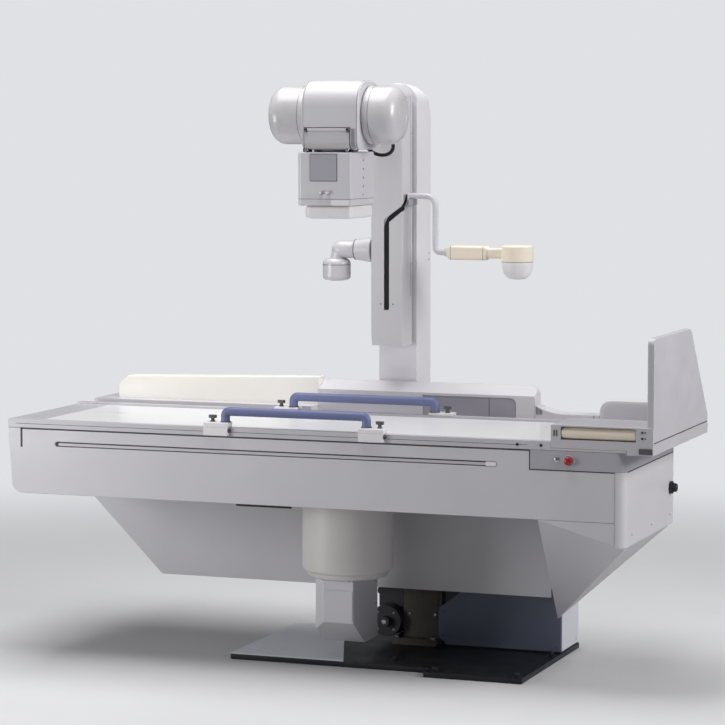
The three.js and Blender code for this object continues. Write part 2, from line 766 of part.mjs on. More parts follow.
// Column on its carriage, and the tube carriage with its arm
function buildColumn() {
  const halfFoot = footWidth / 2;
  const foot = box(mastX - halfFoot, mastX + halfFoot, mastFront + footInset, deckRear - footInset,
    footFloor, footFloor + footHeight);
  add('mast_carriage', foot, greyPanel);

  const mastLeft = mastX - mastWidth / 2;
  const mastRight = mastX + mastWidth / 2;
  const sideView = rounded(mastFront, mastRear, mastBottom, mastTop, [0, 0, mastRound, 4]);
  const frontView = rounded(mastLeft, mastRight, mastBottom, mastTop, [0, 0, mastCorner, mastCorner]);
  const outer = common(prismX(sideView, mastLeft, mastRight, 10), prismY(frontView, mastFront, mastRear, 8));
  const inner = box(mastLeft + mastWall, mastRight - mastWall, mastFront + mastWall, mastRear - mastWall,
    mastBottom - 1, mastTop - mastRound);
  add('mast', cut(outer, inner), whitePaint);

  const chamferY = carriageFront + carriageChamfer;
  const left = carriageX - carriageHalf;
  const right = carriageX + carriageHalf;
  const faceRight = carriageX + carriageFace;
  const plan = [[carriageX - carriageFace, carriageFront], [faceRight, carriageFront], [right, chamferY],
    [right, carriageRear], [left, carriageRear], [left, chamferY]];
  const face = [[left, carriageTop], [left, slantTop], [left + slantRun, carriageBottom],
    [right, carriageBottom], [right, carriageTop]];
  const shell = common(prismZ(plan, carriageBottom, carriageTop),
    prismY(face, carriageFront - 1, carriageRear + 1));
  const cavity = box(carriageX - cavityHalf, carriageX + cavityHalf,
    carriageFront + carriageWall * 2, carriageRear + 1,
    carriageBottom + carriageWall, carriageTop - carriageWall);
  const halfSlot = slotWidth / 2;
  const slot = prismY([
    [slotX - halfSlot, slotBottom], [slotX + halfSlot, slotBottom], [slotX + halfSlot, slotBend],
    [faceRight + 2, slotEndZ - halfSlot], [faceRight + 2, slotEndZ + halfSlot],
    [slotX - halfSlot, slotBend + halfSlot],
  ], carriageFront - 1, carriageFront + slotDepth);
  const runnerLow = carriageBottom + runnerInset;
  const runner = box(carriageX - runnerHalf, carriageX + runnerHalf,
    carriageRear - runnerDepth, mastFront - seat,
    runnerLow, runnerLow + runnerHeight);
  const upperRunner = runner.clone().translate(0, 0,
    carriageTop - carriageBottom - runnerHeight - runnerInset * 2);
  const web = box(carriageX - runnerHalf, carriageX + runnerHalf, carriageFront + carriageWall,
    carriageRear - runnerDepth + 1, runnerLow, carriageTop - runnerInset);
  const arm = rodY(armRadius, tubeDepth + hubLength + seat, carriageFront + armSink, tubeX, tubeZ, 28);
  const body = cut(shell, cavity, slot);
  add('tube_carriage', join(body, web, runner, upperRunner, arm), bodyPaint);
}

// Tube housing with its end drums, cable and collimator
function buildTubeHead() {
  const left = tubeX - tubeHalf;
  const right = tubeX + tubeHalf;
  const round = tubeRound;
  const section = rounded(-tubeDepth, tubeDepth, tubeBottom, tubeZ + tubeHeight,
    [tubeLowRound, tubeLowRound, round, round]);
  const housing = join(
    prismX(section, left, right, 8),
    rodY(hubRadius, tubeDepth - 1, tubeDepth + hubLength, tubeX, tubeZ, 28),
    rodZ(ringRadius, tubeBottom - ringHeight, tubeBottom + 1, collX, 0, 32));
  add('tube_housing', housing, bodyPaint);

  const drum = (length, side) => turned([[0, 0], [drumRadius, 0], [drumRadius, length - drumRound],
    [drumRadius - drumRound * 0.3, length - drumRound * 0.3], [drumRadius - drumRound, length], [0, length]])
    .rotateY(side * Math.PI / 2).translate(tubeX + side * (tubeHalf + seat), 0, tubeZ);
  add('tube_end_left', drum(drumLeft, -1), whitePaint);
  add('tube_end_right', drum(drumRight, 1), whitePaint);

  const reach = tubeDepth + cableOut;
  const drumEnd = right + cableAnchor;
  const clipX = right - cableAnchor * 2;
  const middle = (drumEnd + clipX) / 2;
  const lugZ = tubeZ - cableSag / 2;
  const clipZ = tubeZ - cableSag * 0.6;
  const lowZ = tubeZ - cableSag;
  const cable = tubeAlong([
    [drumEnd, drumRadius + cableRadius, lugZ], [drumEnd - 4, tubeDepth + cableRadius * 2, lugZ - 31],
    [drumEnd - 24, reach - cableRadius, lowZ + 10], [middle, reach, lowZ],
    [clipX + 22, reach - cableRadius, lowZ + 10], [clipX + 4, tubeDepth + cableRadius * 2.5, clipZ - 22],
    [clipX, tubeDepth + cableRadius, clipZ],
  ], cableRadius, 24);
  const lug = box(drumEnd - lugHalf, drumEnd + lugHalf, drumRadius * 0.6, drumRadius + cableRadius,
    lugZ - lugHalf, lugZ + lugHalf);
  const clip = box(clipX - lugHalf, clipX + lugHalf, tubeDepth + seat, tubeDepth + cableRadius,
    clipZ - lugHalf, clipZ + lugHalf);
  const drumRoom = rodX(drumRadius + seat, right - 1, right + drumRight, 0, tubeZ, 28);
  const bodyRoom = prismX(section, left, right + seat, 8);
  add('hv_cable', cut(join(cable, lug, clip), drumRoom, bodyRoom), rubber);

  const halfX = collWidth / 2;
  const halfY = collDepth / 2;
  const collLeft = collX - halfX;
  const collRight = collX + halfX;
  const plan = [[collLeft + collChamfer, -halfY], [collRight, -halfY], [collRight, halfY], [collLeft, halfY],
    [collLeft, -halfY + collChamfer]];
  add('collimator_body', prismZ(plan, collBottom, collTop), bodyPaint);

  const inset = windowInset;
  const windowPlan = rounded(collLeft + windowLeft, collRight - inset, -halfY + inset, halfY - inset,
    [20, 8, 8, 8]);
  const windowTop = collBottom - seat;
  add('collimator_window', prismZ(windowPlan, windowTop - windowHeight, windowTop, 3), whitePaint);

  ['left', 'right'].forEach((side, index) => {
    const knobX = collX + knobShift + (index - 0.5) * knobSpacing;
    const knob = rodY(knobRadius, -halfY - seat - knobLength, -halfY - seat, knobX, collTop - knobDrop, 14);
    add(`collimator_knob_${side}`, knob, blackPlastic);
  });
}

// Compressor arm on the carriage's side, and the observation head on the other side
function buildCarriageArms() {
  const halfBlock = blockWidth / 2;
  const blockTopZ = swingZ - pipeRadius - seat;
  const blockLow = blockTopZ - blockHeight;
  const armRear = carriageRear - blockInset;
  const block = join(
    box(swingX - blockInset * 2, swingX + blockFace, swingY - halfBlock, swingY + halfBlock,
      blockLow, blockTopZ),
    box(carriageX + carriageHalf + seat, swingX, armRear - blockArm, armRear, blockLow, blockTopZ),
    box(swingX - blockInset * 2, swingX, swingY, armRear, blockLow, blockTopZ));
  add('compressor_block', block, greyPanel);

  const downX = swingX + pipeReach;
  const lowZ = swingZ - pipeDrop;
  const bend = pipeBend;
  const pipe = tubeAlong([
    [swingX - pipeRadius, swingY, swingZ], [swingX + pipeReach * 0.3, swingY, swingZ],
    [downX - bend, swingY, swingZ], [downX - bend * 0.3, swingY, swingZ - bend * 0.3],
    [downX, swingY, swingZ - bend], [downX, swingY, lowZ + bend],
    [downX + bend * 0.3, swingY, lowZ + bend * 0.3], [downX + bend, swingY, lowZ],
    [gripLeft - seat, swingY, lowZ],
  ], pipeRadius, 30);
  add('compressor_pipe', pipe, bodyPaint);

  const neckEnd = coneX - coneRadius * 0.8;
  const halfDepth = gripDepth / 2;
  const grip = join(
    prismY(rounded(gripLeft, gripLeft + gripLength, lowZ - gripHeight / 2, lowZ + gripHeight / 2,
      [16, 10, 10, 16]), swingY - halfDepth, swingY + halfDepth, 4),
    box(gripLeft + gripLength - 2, neckEnd, swingY - halfDepth * 0.7, swingY + halfDepth * 0.7,
      lowZ - neckHeight / 2, lowZ + neckHeight / 2),
    rodZ(coneRadius, lowZ - headHeight / 2, lowZ + headHeight / 2, coneX, swingY, 28));
  add('compressor_grip', grip, beige);

  const coneTop = lowZ - headHeight / 2 - seat;
  const cone = turned([[0, 0], [coneRadius * 0.5, 0], [coneRadius * 0.72, coneDrop * 0.12],
    [coneRadius * 0.92, coneDrop * 0.5], [coneRadius, coneDrop], [0, coneDrop]])
    .translate(coneX, swingY, coneTop - coneDrop);
  add('compressor_cone', cone, whitePaint);

  const bracketRight = carriageX - carriageHalf - seat;
  const bracket = new THREE.CylinderGeometry(eyeRadius * 0.82, eyeRadius, eyeLength, 24)
    .rotateZ(Math.PI / 2)
    .translate(bracketRight - eyeLength / 2, carriageRear - eyeRadius + 4, eyeZ);
  add('observation_bracket', bracket, bodyPaint);

  const eyeY = carriageRear - eyeRadius + 4;
  const canTop = eyeZ - eyeCanFall;
  const elbowRight = bracketRight - eyeLength - seat;
  const elbow = join(
    rodX(eyeRadius * 0.7, eyeX, elbowRight, eyeY, eyeZ, 24),
    rodZ(eyeRadius * 0.6, canTop, eyeZ, eyeX + 6, eyeY, 24),
    turned([[0, 0], [eyeCanRadius * 0.75, 0], [eyeCanRadius, 16], [eyeCanRadius, eyeCanHeight],
      [eyeCanRadius * 0.7, eyeCanHeight + 12], [0, eyeCanHeight + 12]])
      .translate(eyeX - 10, eyeY, canTop - eyeCanHeight));
  add('observation_head', elbow, whitePaint);
}

// Image carriage: housing under the tabletop, image intensifier drum and television camera box
function buildImageCarriage() {
  const runner = innerY - seat;
  const housing = join(
    box(-imageHalfX, imageHalfX, -innerY + 8, innerY - 8, imageBottom, imageTop),
    box(-imageHalfX, imageHalfX, -runner, runner, imageBottom + 10, imageBottom + 10 + imageRunner));
  add('imaging_housing', housing, greyPanel);

  const drumTop = imageBottom - seat;
  const height = drumTop - iiBottom;
  const profile = [[0, 0], [iiRadius - 26, 0], [iiRadius - 18, 6], [iiRadius - 12, 24], [iiRadius, 30],
    [iiRadius, height], [iiRadius - iiWall, height], [iiRadius - iiWall, 40], [0, 40]];
  add('intensifier_drum', turned(profile, 40).translate(drumX, 0, iiBottom), whitePaint);

  const cameraTop = iiBottom - seat;
  const plan = [[cameraLeft + cameraChamfer, cameraFront], [cameraRight, cameraFront],
    [cameraRight, cameraRear], [cameraLeft, cameraRear], [cameraLeft, cameraFront + cameraChamfer]];
  const side = [[cameraFront, cameraSlopeTop], [cameraFront + cameraSlopeRun, cameraBottom],
    [cameraRear, cameraBottom], [cameraRear, cameraTop], [cameraFront, cameraTop]];
  const camera = common(prismZ(plan, cameraBottom, cameraTop), prismX(side, cameraLeft, cameraRight));
  add('camera_box', camera, bodyPaint);
}

// Tabletop: frame, white panel, roller frame at the foot end and the footrest
function buildTabletop() {
  const rearTop = topZ + rearRailRise;
  const frame = join(
    box(headX, frameFoot, frontY, frontY + railDepth, frameBottom, topZ),
    box(headX, panelLeft - seat, frontY, rearRailY, frameBottom, topZ),
    box(headX, frameFoot, rearRailY - railDepth, rearRailY, frameBottom, rearTop));
  const footRoom = box(footLeft - seat, frameFoot + 1, frontY - 1, frontY + footDepth + seat,
    footBottom - seat, rearTop);
  const pieces = cut(frame, footRoom);
  const endFloor = box(panelRight + seat, frameFoot, frontY + seat, rearRailY - 1,
    frameBottom, footBottom - seat);
  add('tabletop_frame', join(pieces, endFloor), bodyPaint);

  const panel = box(panelLeft, panelRight, frontY + railDepth + seat, rearRailY - railDepth - seat,
    panelBottom, topZ);
  add('tabletop_panel', panel, tabletopWhite);

  const footRear = frontY + footDepth;
  const block = join(
    box(footLeft, footRight - restThick - seat, frontY, footRear, footBottom, footTop),
    box(footRight - restThick - 1, footRight, frontY, frontY + footCheek, footBarTop - 1, footTop),
    box(footRight - footBarWidth, footRight, frontY, frontY + footBarDepth, footBarBottom, footBarTop));
  const rollerRoom = box(footLeft + footPost, footRight - restThick - seat - footPost, frontY - 1,
    frontY + rollerRadius * 2 + moveGap, footBottom + footSill, footTop - footCrown);
  const under = box(footLeft + footPost, footRight - restThick - footPost,
    frontY + rollerRadius * 2 + footSill, footRear - footWall, footBottom - 1, footTop - footWall);
  const rollerY = frontY + rollerRadius + slideGap;
  const rollerZ = (footBottom + footSill + footTop - footCrown) / 2;
  const pinEnd = rollerPinReach + slideGap;
  const pinHole = rodX(rollerPin + seat, footLeft + footPost - pinEnd,
    footRight - restThick - footPost + pinEnd, rollerY, rollerZ, 12);
  add('foot_frame', cut(block, rollerRoom, under, pinHole), bodyPaint);

  const rollerLeft = footLeft + footPost + slideGap;
  const rollerRight = footRight - restThick - seat - footPost - slideGap;
  const roller = join(
    rodX(rollerRadius - 1, rollerLeft, rollerRight, rollerY, rollerZ, 24),
    rodX(rollerPin, rollerLeft - rollerPinReach, rollerRight + rollerPinReach, rollerY, rollerZ, 12));
  add('support_roller', roller, beige);

  const front = frontY + footCheek + seat;
  const back = frontY + footBarDepth;
  const topBack = back - restTaper;
  const outline = new THREE.Shape();
  outline.moveTo(front, restBottom);
  outline.lineTo(back, restBottom);
  outline.lineTo(back, restBottom + restHeel);
  outline.lineTo(topBack + restCorner * 0.7, restTop - restCorner);
  outline.quadraticCurveTo(topBack, restTop, topBack - restCorner, restTop);
  outline.lineTo(front + restCorner, restTop);
  outline.absarc(front + restCorner, restTop - restCorner, restCorner, Math.PI / 2, Math.PI);
  add('footrest_plate', prismX(outline, footRight - restThick, footRight, 5), bodyPaint);
}

// Two handgrips, each a bar on two clamps with a locking knob
function buildHandgrip(place, left, right, side) {
  const outerY = side < 0 ? frontY : rearRailY;
  const innerFace = outerY - side * railDepth;
  const railHigh = side < 0 ? topZ : topZ + rearRailRise;
  const barY = outerY - side * railDepth / 2;
  const bend = gripBend;
  const foot = clampTop + seat;
  const bar = tubeAlong([
    [left, barY, foot], [left, barY, gripBarZ - bend * 0.5], [left + bend * 0.3, barY, gripBarZ - bend * 0.1],
    [left + bend, barY, gripBarZ], [(left + right) / 2, barY, gripBarZ], [right - bend, barY, gripBarZ],
    [right - bend * 0.3, barY, gripBarZ - bend * 0.1], [right, barY, gripBarZ - bend * 0.5],
    [right, barY, foot],
  ], gripBarRadius, 36);
  const underBar = box(left - 40, right + 40, barY - 40, barY + 40, foot - 30, foot);
  add(`${place}_grip_bar`, cut(bar, underBar), gripBlue);

  const lipOuter = outerY + side * (seat + clampLip);
  const yLow = Math.min(lipOuter, innerFace);
  const yHigh = Math.max(lipOuter, innerFace);
  const lipLow = Math.min(outerY + side * seat, lipOuter);
  const lipHigh = Math.max(outerY + side * seat, lipOuter);
  const ends = [['left', left, -1], ['right', right, 1]];
  ends.forEach(([end, legX, out]) => {
    const near = legX - out * (gripBarRadius + clampMargin);
    const far = near + out * clampLength;
    const x0 = Math.min(near, far);
    const x1 = Math.max(near, far);
    const clamp = join(
      box(x0, x1, yLow, yHigh, railHigh + seat, clampTop),
      box(x0, x1, lipLow, lipHigh, frameBottom + 2, clampTop));
    add(`${place}_clamp_${end}`, clamp, whitePaint);

    const knobX = far - out * (clampKnobRadius + clampKnobInset);
    const knob = join(
      rodZ(clampKnobRadius * 0.5, clampTop + seat, clampTop + clampKnobHeight * 0.6, knobX, barY, 12),
      rodZ(clampKnobRadius, clampTop + clampKnobHeight * 0.5, clampTop + clampKnobHeight, knobX, barY, 16));
    add(`${place}_clamp_knob_${end}`, knob, blackPlastic);
  });
}

// Emergency stop on the control cap, and the knob on the foot end
function buildControls() {
  const stemRear = frontY + panelWall;
  const crown = frontY - stopTravel - slideGap;
  const button = join(
    rodY(stopRadius * 0.6, crown - 1, stemRear, stopX, stopZ, 20),
    rodY(stopRadius, crown - stopHeight * 0.5, crown, stopX, stopZ, 24));
  add('emergency_stop', button, redPlastic);

  const start = endX + seat;
  const knob = join(
    rodX(endKnobRadius, start, start + endKnobLength * 0.4, endKnobY, endKnobZ, 24),
    rodX(endKnobRadius * 0.7, start, start + endKnobLength, endKnobY, endKnobZ, 24));
  add('end_knob', knob, blackPlastic);
}

buildBase();
buildTiltDrive();
buildChassis();
buildBody();
buildRearDeck();
buildColumn();
buildTubeHead();
buildCarriageArms();
buildImageCarriage();
buildTabletop();
buildHandgrip('front', frontGripLeft, frontGripRight, -1);
buildHandgrip('rear', rearGripLeft, rearGripRight, 1);
buildControls();

export default table;
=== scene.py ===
import json
import math

import bmesh
import bpy
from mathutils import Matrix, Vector


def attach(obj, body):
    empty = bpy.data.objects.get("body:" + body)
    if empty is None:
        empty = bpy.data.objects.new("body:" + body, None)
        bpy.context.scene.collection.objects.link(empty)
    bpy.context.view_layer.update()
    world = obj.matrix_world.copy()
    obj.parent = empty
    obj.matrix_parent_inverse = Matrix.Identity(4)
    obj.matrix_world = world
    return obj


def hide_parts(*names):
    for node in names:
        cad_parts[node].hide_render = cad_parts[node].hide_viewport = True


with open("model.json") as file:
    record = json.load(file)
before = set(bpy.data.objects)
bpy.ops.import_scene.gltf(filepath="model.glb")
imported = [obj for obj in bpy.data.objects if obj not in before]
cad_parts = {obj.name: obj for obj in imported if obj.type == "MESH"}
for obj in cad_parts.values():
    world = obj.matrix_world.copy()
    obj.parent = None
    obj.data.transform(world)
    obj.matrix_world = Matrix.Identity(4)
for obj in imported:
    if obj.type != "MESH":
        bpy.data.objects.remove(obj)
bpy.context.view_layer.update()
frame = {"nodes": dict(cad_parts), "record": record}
nodes = frame["nodes"]

MM = 0.001
SMOOTH_ANGLE = math.radians(32)


# Camera at the photograph's viewing angle
def add_camera():
    data = bpy.data.cameras.new("camera")
    data.lens = 137.5
    data.sensor_width = 36
    camera = bpy.data.objects.new("camera", data)
    camera.location = (3.506, -9.170, 1.949)
    camera.rotation_euler = (math.radians(85), 0, math.radians(20.5))
    bpy.context.scene.collection.objects.link(camera)
    bpy.context.scene.camera = camera


# Colours are written as they should look, from 0 to 255
def colour(red, green, blue):
    def linear(value):
        share = value / 255
        return share / 12.92 if share <= 0.04045 else ((share + 0.055) / 1.055) ** 2.4
    return (linear(red), linear(green), linear(blue), 1)


# Material nodes
class Shader:
    """A Principled material whose noise is measured in object space, in metres."""

    def __init__(self, name):
        self.material = bpy.data.materials.new(name)
        self.material.use_nodes = True
        self.tree = self.material.node_tree
        self.shader = self.tree.nodes["Principled BSDF"]
        self.place = self.tree.nodes.new("ShaderNodeTexCoord").outputs["Object"]

    def node(self, kind, **values):
        made = self.tree.nodes.new(kind)
        for key, value in values.items():
            setattr(made, key, value)
        return made

    def link(self, start, end):
        self.tree.links.new(start, end)

    def set(self, **values):
        for key, value in values.items():
            self.shader.inputs[key.replace("_", " ")].default_value = value

    def noise(self, scale, detail=3.0, stretch=(1, 1, 1), roughness=0.55):
        mapping = self.node("ShaderNodeMapping")
        mapping.inputs["Scale"].default_value = stretch
        self.link(self.place, mapping.inputs["Vector"])
        noise = self.node("ShaderNodeTexNoise")
        noise.inputs["Scale"].default_value = scale
        noise.inputs["Detail"].default_value = detail
        noise.inputs["Roughness"].default_value = roughness
        self.link(mapping.outputs[0], noise.inputs["Vector"])
        return noise.outputs["Fac"]

    def ramp(self, source, stops):
        ramp = self.node("ShaderNodeValToRGB")
        elements = ramp.color_ramp.elements
        while len(elements) < len(stops):
            elements.new(0.5)
        for element, (position, tint) in zip(elements, stops):
            element.position = position
            element.color = tint
        self.link(source, ramp.inputs["Fac"])
        return ramp.outputs["Color"]

    def range(self, source, low, high, start=0.3, end=0.7):
        mapped = self.node("ShaderNodeMapRange")
        for name, value in (("From Min", start), ("From Max", end), ("To Min", low), ("To Max", high)):
            mapped.inputs[name].default_value = value
        self.link(source, mapped.inputs["Value"])
        return mapped.outputs["Result"]

    def mix(self, factor, first, second):
        mixed = self.node("ShaderNodeMix", data_type="RGBA")
        self.link(factor, mixed.inputs["Factor"])
        for source, socket in ((first, mixed.inputs[6]), (second, mixed.inputs[7])):
            if isinstance(source, tuple):
                socket.default_value = source
            else:
                self.link(source, socket)
        return mixed.outputs[2]

    def bump(self, source, strength, distance, onto=None):
        bump = self.node("ShaderNodeBump")
        bump.inputs["Strength"].default_value = strength
        bump.inputs["Distance"].default_value = distance
        self.link(source, bump.inputs["Height"])
        if onto is not None:
            self.link(onto, bump.inputs["Normal"])
        return bump.outputs["Normal"]


def shade(tint, share):
    return tuple(min(1, value * share) for value in tint[:3]) + (1,)


def coated(name, tint, rough, peel=0.06, grain=900, tone=0.05, gloss=0.0, metal=0.0):
    """Sprayed or moulded skin: soft tone changes, faint handling marks and a fine surface texture."""
    made = Shader(name)
    clouds = made.noise(2.3, 4)
    body = made.ramp(clouds, [(0.3, shade(tint, 1 - tone)), (0.7, shade(tint, 1 + tone * 0.5))])
    specks = made.noise(160, 2)
    spotted = made.mix(made.range(specks, 0, 0.10, 0.62, 0.72), body, shade(tint, 0.78))
    made.link(spotted, made.shader.inputs["Base Color"])
    marks = made.noise(7, 5, (1, 1, 2.4))
    made.link(made.range(marks, rough - 0.07, rough + 0.09), made.shader.inputs["Roughness"])
    fine = made.noise(grain, 2)
    waves = made.noise(34, 1)
    normal = made.bump(fine, peel, 0.0006)
    made.link(made.bump(waves, peel * 0.5, 0.0006, normal), made.shader.inputs["Normal"])
    made.set(Metallic=metal, Coat_Weight=gloss, Coat_Roughness=0.12)
    return made.material


def laminate(name, tint):
    """Glossy white tabletop with fine lengthwise wipe marks."""
    made = Shader(name)
    clouds = made.noise(1.7, 3)
    body = made.ramp(clouds, [(0.3, shade(tint, 0.96)), (0.7, shade(tint, 1.02))])
    wipes = made.noise(14, 4, (0.3, 3, 1), 0.6)
    wiped = made.mix(made.range(wipes, 0, 0.03, 0.5, 0.8), body, shade(tint, 0.92))
    made.link(wiped, made.shader.inputs["Base Color"])
    made.link(made.range(wipes, 0.33, 0.35), made.shader.inputs["Roughness"])
    made.set(Coat_Weight=0.25, Coat_Roughness=0.15)
    return made.material


def machined(name, tint, rough, stretch=(1, 30, 1)):
    """Turned or milled metal with fine tool lines."""
    made = Shader(name)
    lines = made.noise(60, 4, stretch, 0.7)
    body = made.ramp(lines, [(0.3, shade(tint, 0.78)), (0.7, shade(tint, 1.08))])
    made.link(body, made.shader.inputs["Base Color"])
    made.link(made.range(lines, rough - 0.08, rough + 0.12), made.shader.inputs["Roughness"])
    made.link(made.bump(lines, 0.12, 0.0004), made.shader.inputs["Normal"])
    made.set(Metallic=1.0)
    return made.material


def casting(name, tint, rough):
    """Rough cast iron under a coat of paint."""
    made = Shader(name)
    lumps = made.noise(120, 5)
    body = made.ramp(lumps, [(0.25, shade(tint, 0.72)), (0.75, shade(tint, 1.15))])
    made.link(body, made.shader.inputs["Base Color"])
    made.link(made.range(lumps, rough - 0.1, rough + 0.1), made.shader.inputs["Roughness"])
    made.link(made.bump(lumps, 0.35, 0.0012), made.shader.inputs["Normal"])
    made.set(Metallic=0.25)
    return made.material


def rubbered(name, tint, rough=0.7):
    """Dull rubber or soft plastic with a fine pebble."""
    made = Shader(name)
    pebble = made.noise(700, 3)
    dust = made.noise(9, 4)
    body = made.ramp(dust, [(0.35, tint), (0.75, shade(tint, 1.35))])
    made.link(body, made.shader.inputs["Base Color"])
    made.link(made.range(dust, rough - 0.1, rough + 0.1), made.shader.inputs["Roughness"])
    made.link(made.bump(pebble, 0.18, 0.0005), made.shader.inputs["Normal"])
    return made.material


BODY = coated("body_paint", colour(203, 201, 205), 0.42, gloss=0.15)
COLUMN = coated("column_paint", colour(207, 205, 209), 0.42, gloss=0.15)
HEAD = coated("head_paint", colour(208, 206, 211), 0.40, gloss=0.15)
DRUM = coated("drum_white", colour(205, 203, 206), 0.30, peel=0.04, gloss=0.35)
INTENSIFIER = coated("intensifier_white", colour(211, 208, 205), 0.38, gloss=0.15)
CAP = coated("cap_grey", colour(172, 170, 176), 0.5, peel=0.12, grain=1400)
CREAM = coated("cream_cover", colour(252, 249, 242), 0.45, peel=0.08, grain=1200)
# Lighter copy of the column paint for the mast: painted light, brightening the mast's lit side
LIT_MAST_PAINT = coated("mast_paint_lightened", colour(232, 230, 234), 0.42, gloss=0.15)
WHITE = coated("white_cover", colour(216, 214, 218), 0.42, peel=0.06, grain=1200)
PALE = coated("pale_plastic", colour(232, 229, 231), 0.38, peel=0.05)
RAIL = coated("rail_alloy", colour(194, 192, 197), 0.38, gloss=0.1)
GREY = coated("panel_grey", colour(166, 163, 172), 0.5, peel=0.12, grain=1500)
SEAM = coated("seam_dark", colour(62, 61, 66), 0.6)
KNOB = coated("knob_dark", colour(88, 84, 88), 0.5, peel=0.1)
ALLOY = coated("frame_alloy", colour(172, 171, 176), 0.45, metal=0.35)
# Pale bluish sheet on the left of the dark base plate: painted light, standing for a lit patch and a painted
# reflection on the plate
LIT_PATCH_SHEET = coated("light_sheet", colour(244, 246, 255), 0.35, gloss=0.2)
STAND = coated("stand_paint", colour(44, 45, 58), 0.45, tone=0.12)
SIDE = coated("stand_side", colour(214, 213, 222), 0.42, gloss=0.15)
NAVY = coated("navy_panel", colour(92, 99, 118), 0.42, tone=0.12, gloss=0.1)
PLATE = coated("plate_paint", colour(12, 12, 19), 0.42, tone=0.25, gloss=0.1)
BEIGE = coated("beige_plastic", colour(240, 227, 208), 0.48, peel=0.1)
BLUE = coated("grip_blue", colour(106, 113, 154), 0.45, peel=0.1)
RED = coated("red_plastic", colour(160, 18, 22), 0.3, gloss=0.4)
MOTOR = coated("motor_dark", colour(34, 34, 44), 0.5, tone=0.15)
# Near-black sheet for the carriage's slot: painted shade, standing for the dark inside of the opening
SLOT_SHADE = rubbered("slot_painted_shade", colour(9, 9, 11), 0.8)
BLACK = rubbered("black_plastic", colour(26, 26, 29), 0.5)
RUBBER = rubbered("cable_rubber", colour(22, 22, 24), 0.65)
TOP = laminate("tabletop_white", colour(238, 238, 240))
STEEL = machined("machined_steel", colour(176, 177, 182), 0.32)
BRONZE = machined("bush_bronze", colour(168, 134, 84), 0.35)
CHROME = machined("bright_steel", colour(205, 206, 210), 0.22, (1, 1, 12))
IRON = casting("cast_housing", colour(78, 70, 69), 0.6)

SLOT_MATERIALS = {
    "plate_paint": PLATE, "light_sheet": LIT_PATCH_SHEET, "stand_paint": STAND, "navy_panel": NAVY,
    "cast_housing": IRON, "bush_bronze": BRONZE, "machined_steel": STEEL, "frame_alloy": ALLOY,
    "body_paint": BODY, "cap_grey": CAP, "cream_cover": CREAM, "white_cover": WHITE,
    "column_paint": COLUMN, "head_paint": HEAD, "drum_white": DRUM, "pale_plastic": PALE,
    "tabletop_white": TOP, "rail_alloy": RAIL, "grip_blue": BLUE, "beige_plastic": BEIGE,
    "black_plastic": BLACK, "red_plastic": RED, "cable_rubber": RUBBER,
}


# Edges: a small bevel and smooth shading, all in modifiers
def smooth_group():
    group = bpy.data.node_groups.new("smooth_by_angle", "GeometryNodeTree")
    for way in ("INPUT", "OUTPUT"):
        group.interface.new_socket("Geometry", in_out=way, socket_type="NodeSocketGeometry")
    start = group.nodes.new("NodeGroupInput")
    end = group.nodes.new("NodeGroupOutput")
    faces = group.nodes.new("GeometryNodeSetShadeSmooth")
    edges = group.nodes.new("GeometryNodeSetShadeSmooth")
    edges.domain = "EDGE"
    edges.inputs["Shade Smooth"].default_value = False
    angle = group.nodes.new("GeometryNodeInputMeshEdgeAngle")
    compare = group.nodes.new("FunctionNodeCompare")
    compare.operation = "GREATER_THAN"
    compare.inputs[1].default_value = SMOOTH_ANGLE
    group.links.new(start.outputs[0], faces.inputs["Geometry"])
    group.links.new(faces.outputs[0], edges.inputs["Geometry"])
    group.links.new(angle.outputs["Unsigned Angle"], compare.inputs[0])
    group.links.new(compare.outputs[0], edges.inputs["Selection"])
    group.links.new(edges.outputs[0], end.inputs[0])
    return group


SMOOTH = smooth_group()


def soften(piece, width, segments=2):
    """Bevels the sharp edges by width in millimetres, then shades curved faces smooth."""
    if width:
        bevel = piece.modifiers.new("bevel", "BEVEL")
        bevel.width = width * MM
        bevel.segments = segments
        bevel.limit_method = "ANGLE"
        bevel.angle_limit = math.radians(35)
        bevel.use_clamp_overlap = True
    piece.modifiers.new("smooth", "NODES").node_group = SMOOTH
    normals = piece.modifiers.new("normals", "WEIGHTED_NORMAL")
    normals.keep_sharp = True
    normals.weight = 100


EDGES = {
    "base_plate": 3, "floor_cover": 0.8, "tilt_stand": 5, "stand_front_panel": 2, "tilt_gearbox": 5,
    "tilt_motor": 4, "drive_pinion": 0.6, "sector_gear": 0.6, "pivot_shaft": 1, "pivot_bearing": 0.8,
    "chassis": 3, "front_panel": 2.5, "left_end_cover": 2, "right_end_cover": 2, "control_cap": 3,
    "wedge_cover": 2, "rear_skirt": 1.2, "rear_deck": 2, "rear_cover_left": 7, "rear_hood": 5,
    "low_housing": 4, "end_block": 5, "mast": 5, "tube_carriage": 4, "tabletop_frame": 2.5,
    "tabletop_panel": 1.5, "foot_frame": 4, "footrest_plate": 5, "camera_box": 4,
}


def dress_frame():
    slots = {row["node"]: row["material_slot"] for row in frame["record"]["subparts"]}
    for name, piece in nodes.items():
        weld = piece.modifiers.new("weld", "WELD")
        weld.merge_threshold = 0.00002
        flat = piece.modifiers.new("flat", "DECIMATE")
        flat.decimate_type = "DISSOLVE"
        flat.angle_limit = math.radians(0.6)
        soften(piece, EDGES.get(name, 1.5))
        piece.data.materials.clear()
        piece.data.materials.append(SLOT_MATERIALS[slots[name]])
    nodes["intensifier_drum"].data.materials[0] = INTENSIFIER
    nodes["rear_deck"].data.materials[0] = BODY
    # The mast wears the lighter copy of the column paint: painted light
    nodes["mast"].data.materials[0] = LIT_MAST_PAINT
    nodes["tilt_motor"].data.materials[0] = MOTOR


# Outlines and paths, in millimetres
def arc(centre, radius, start, end, steps=8):
    points = []
    for step in range(steps + 1):
        angle = math.radians(start + (end - start) * step / steps)
        points.append((centre[0] + radius * math.cos(angle), centre[1] + radius * math.sin(angle)))
    return points


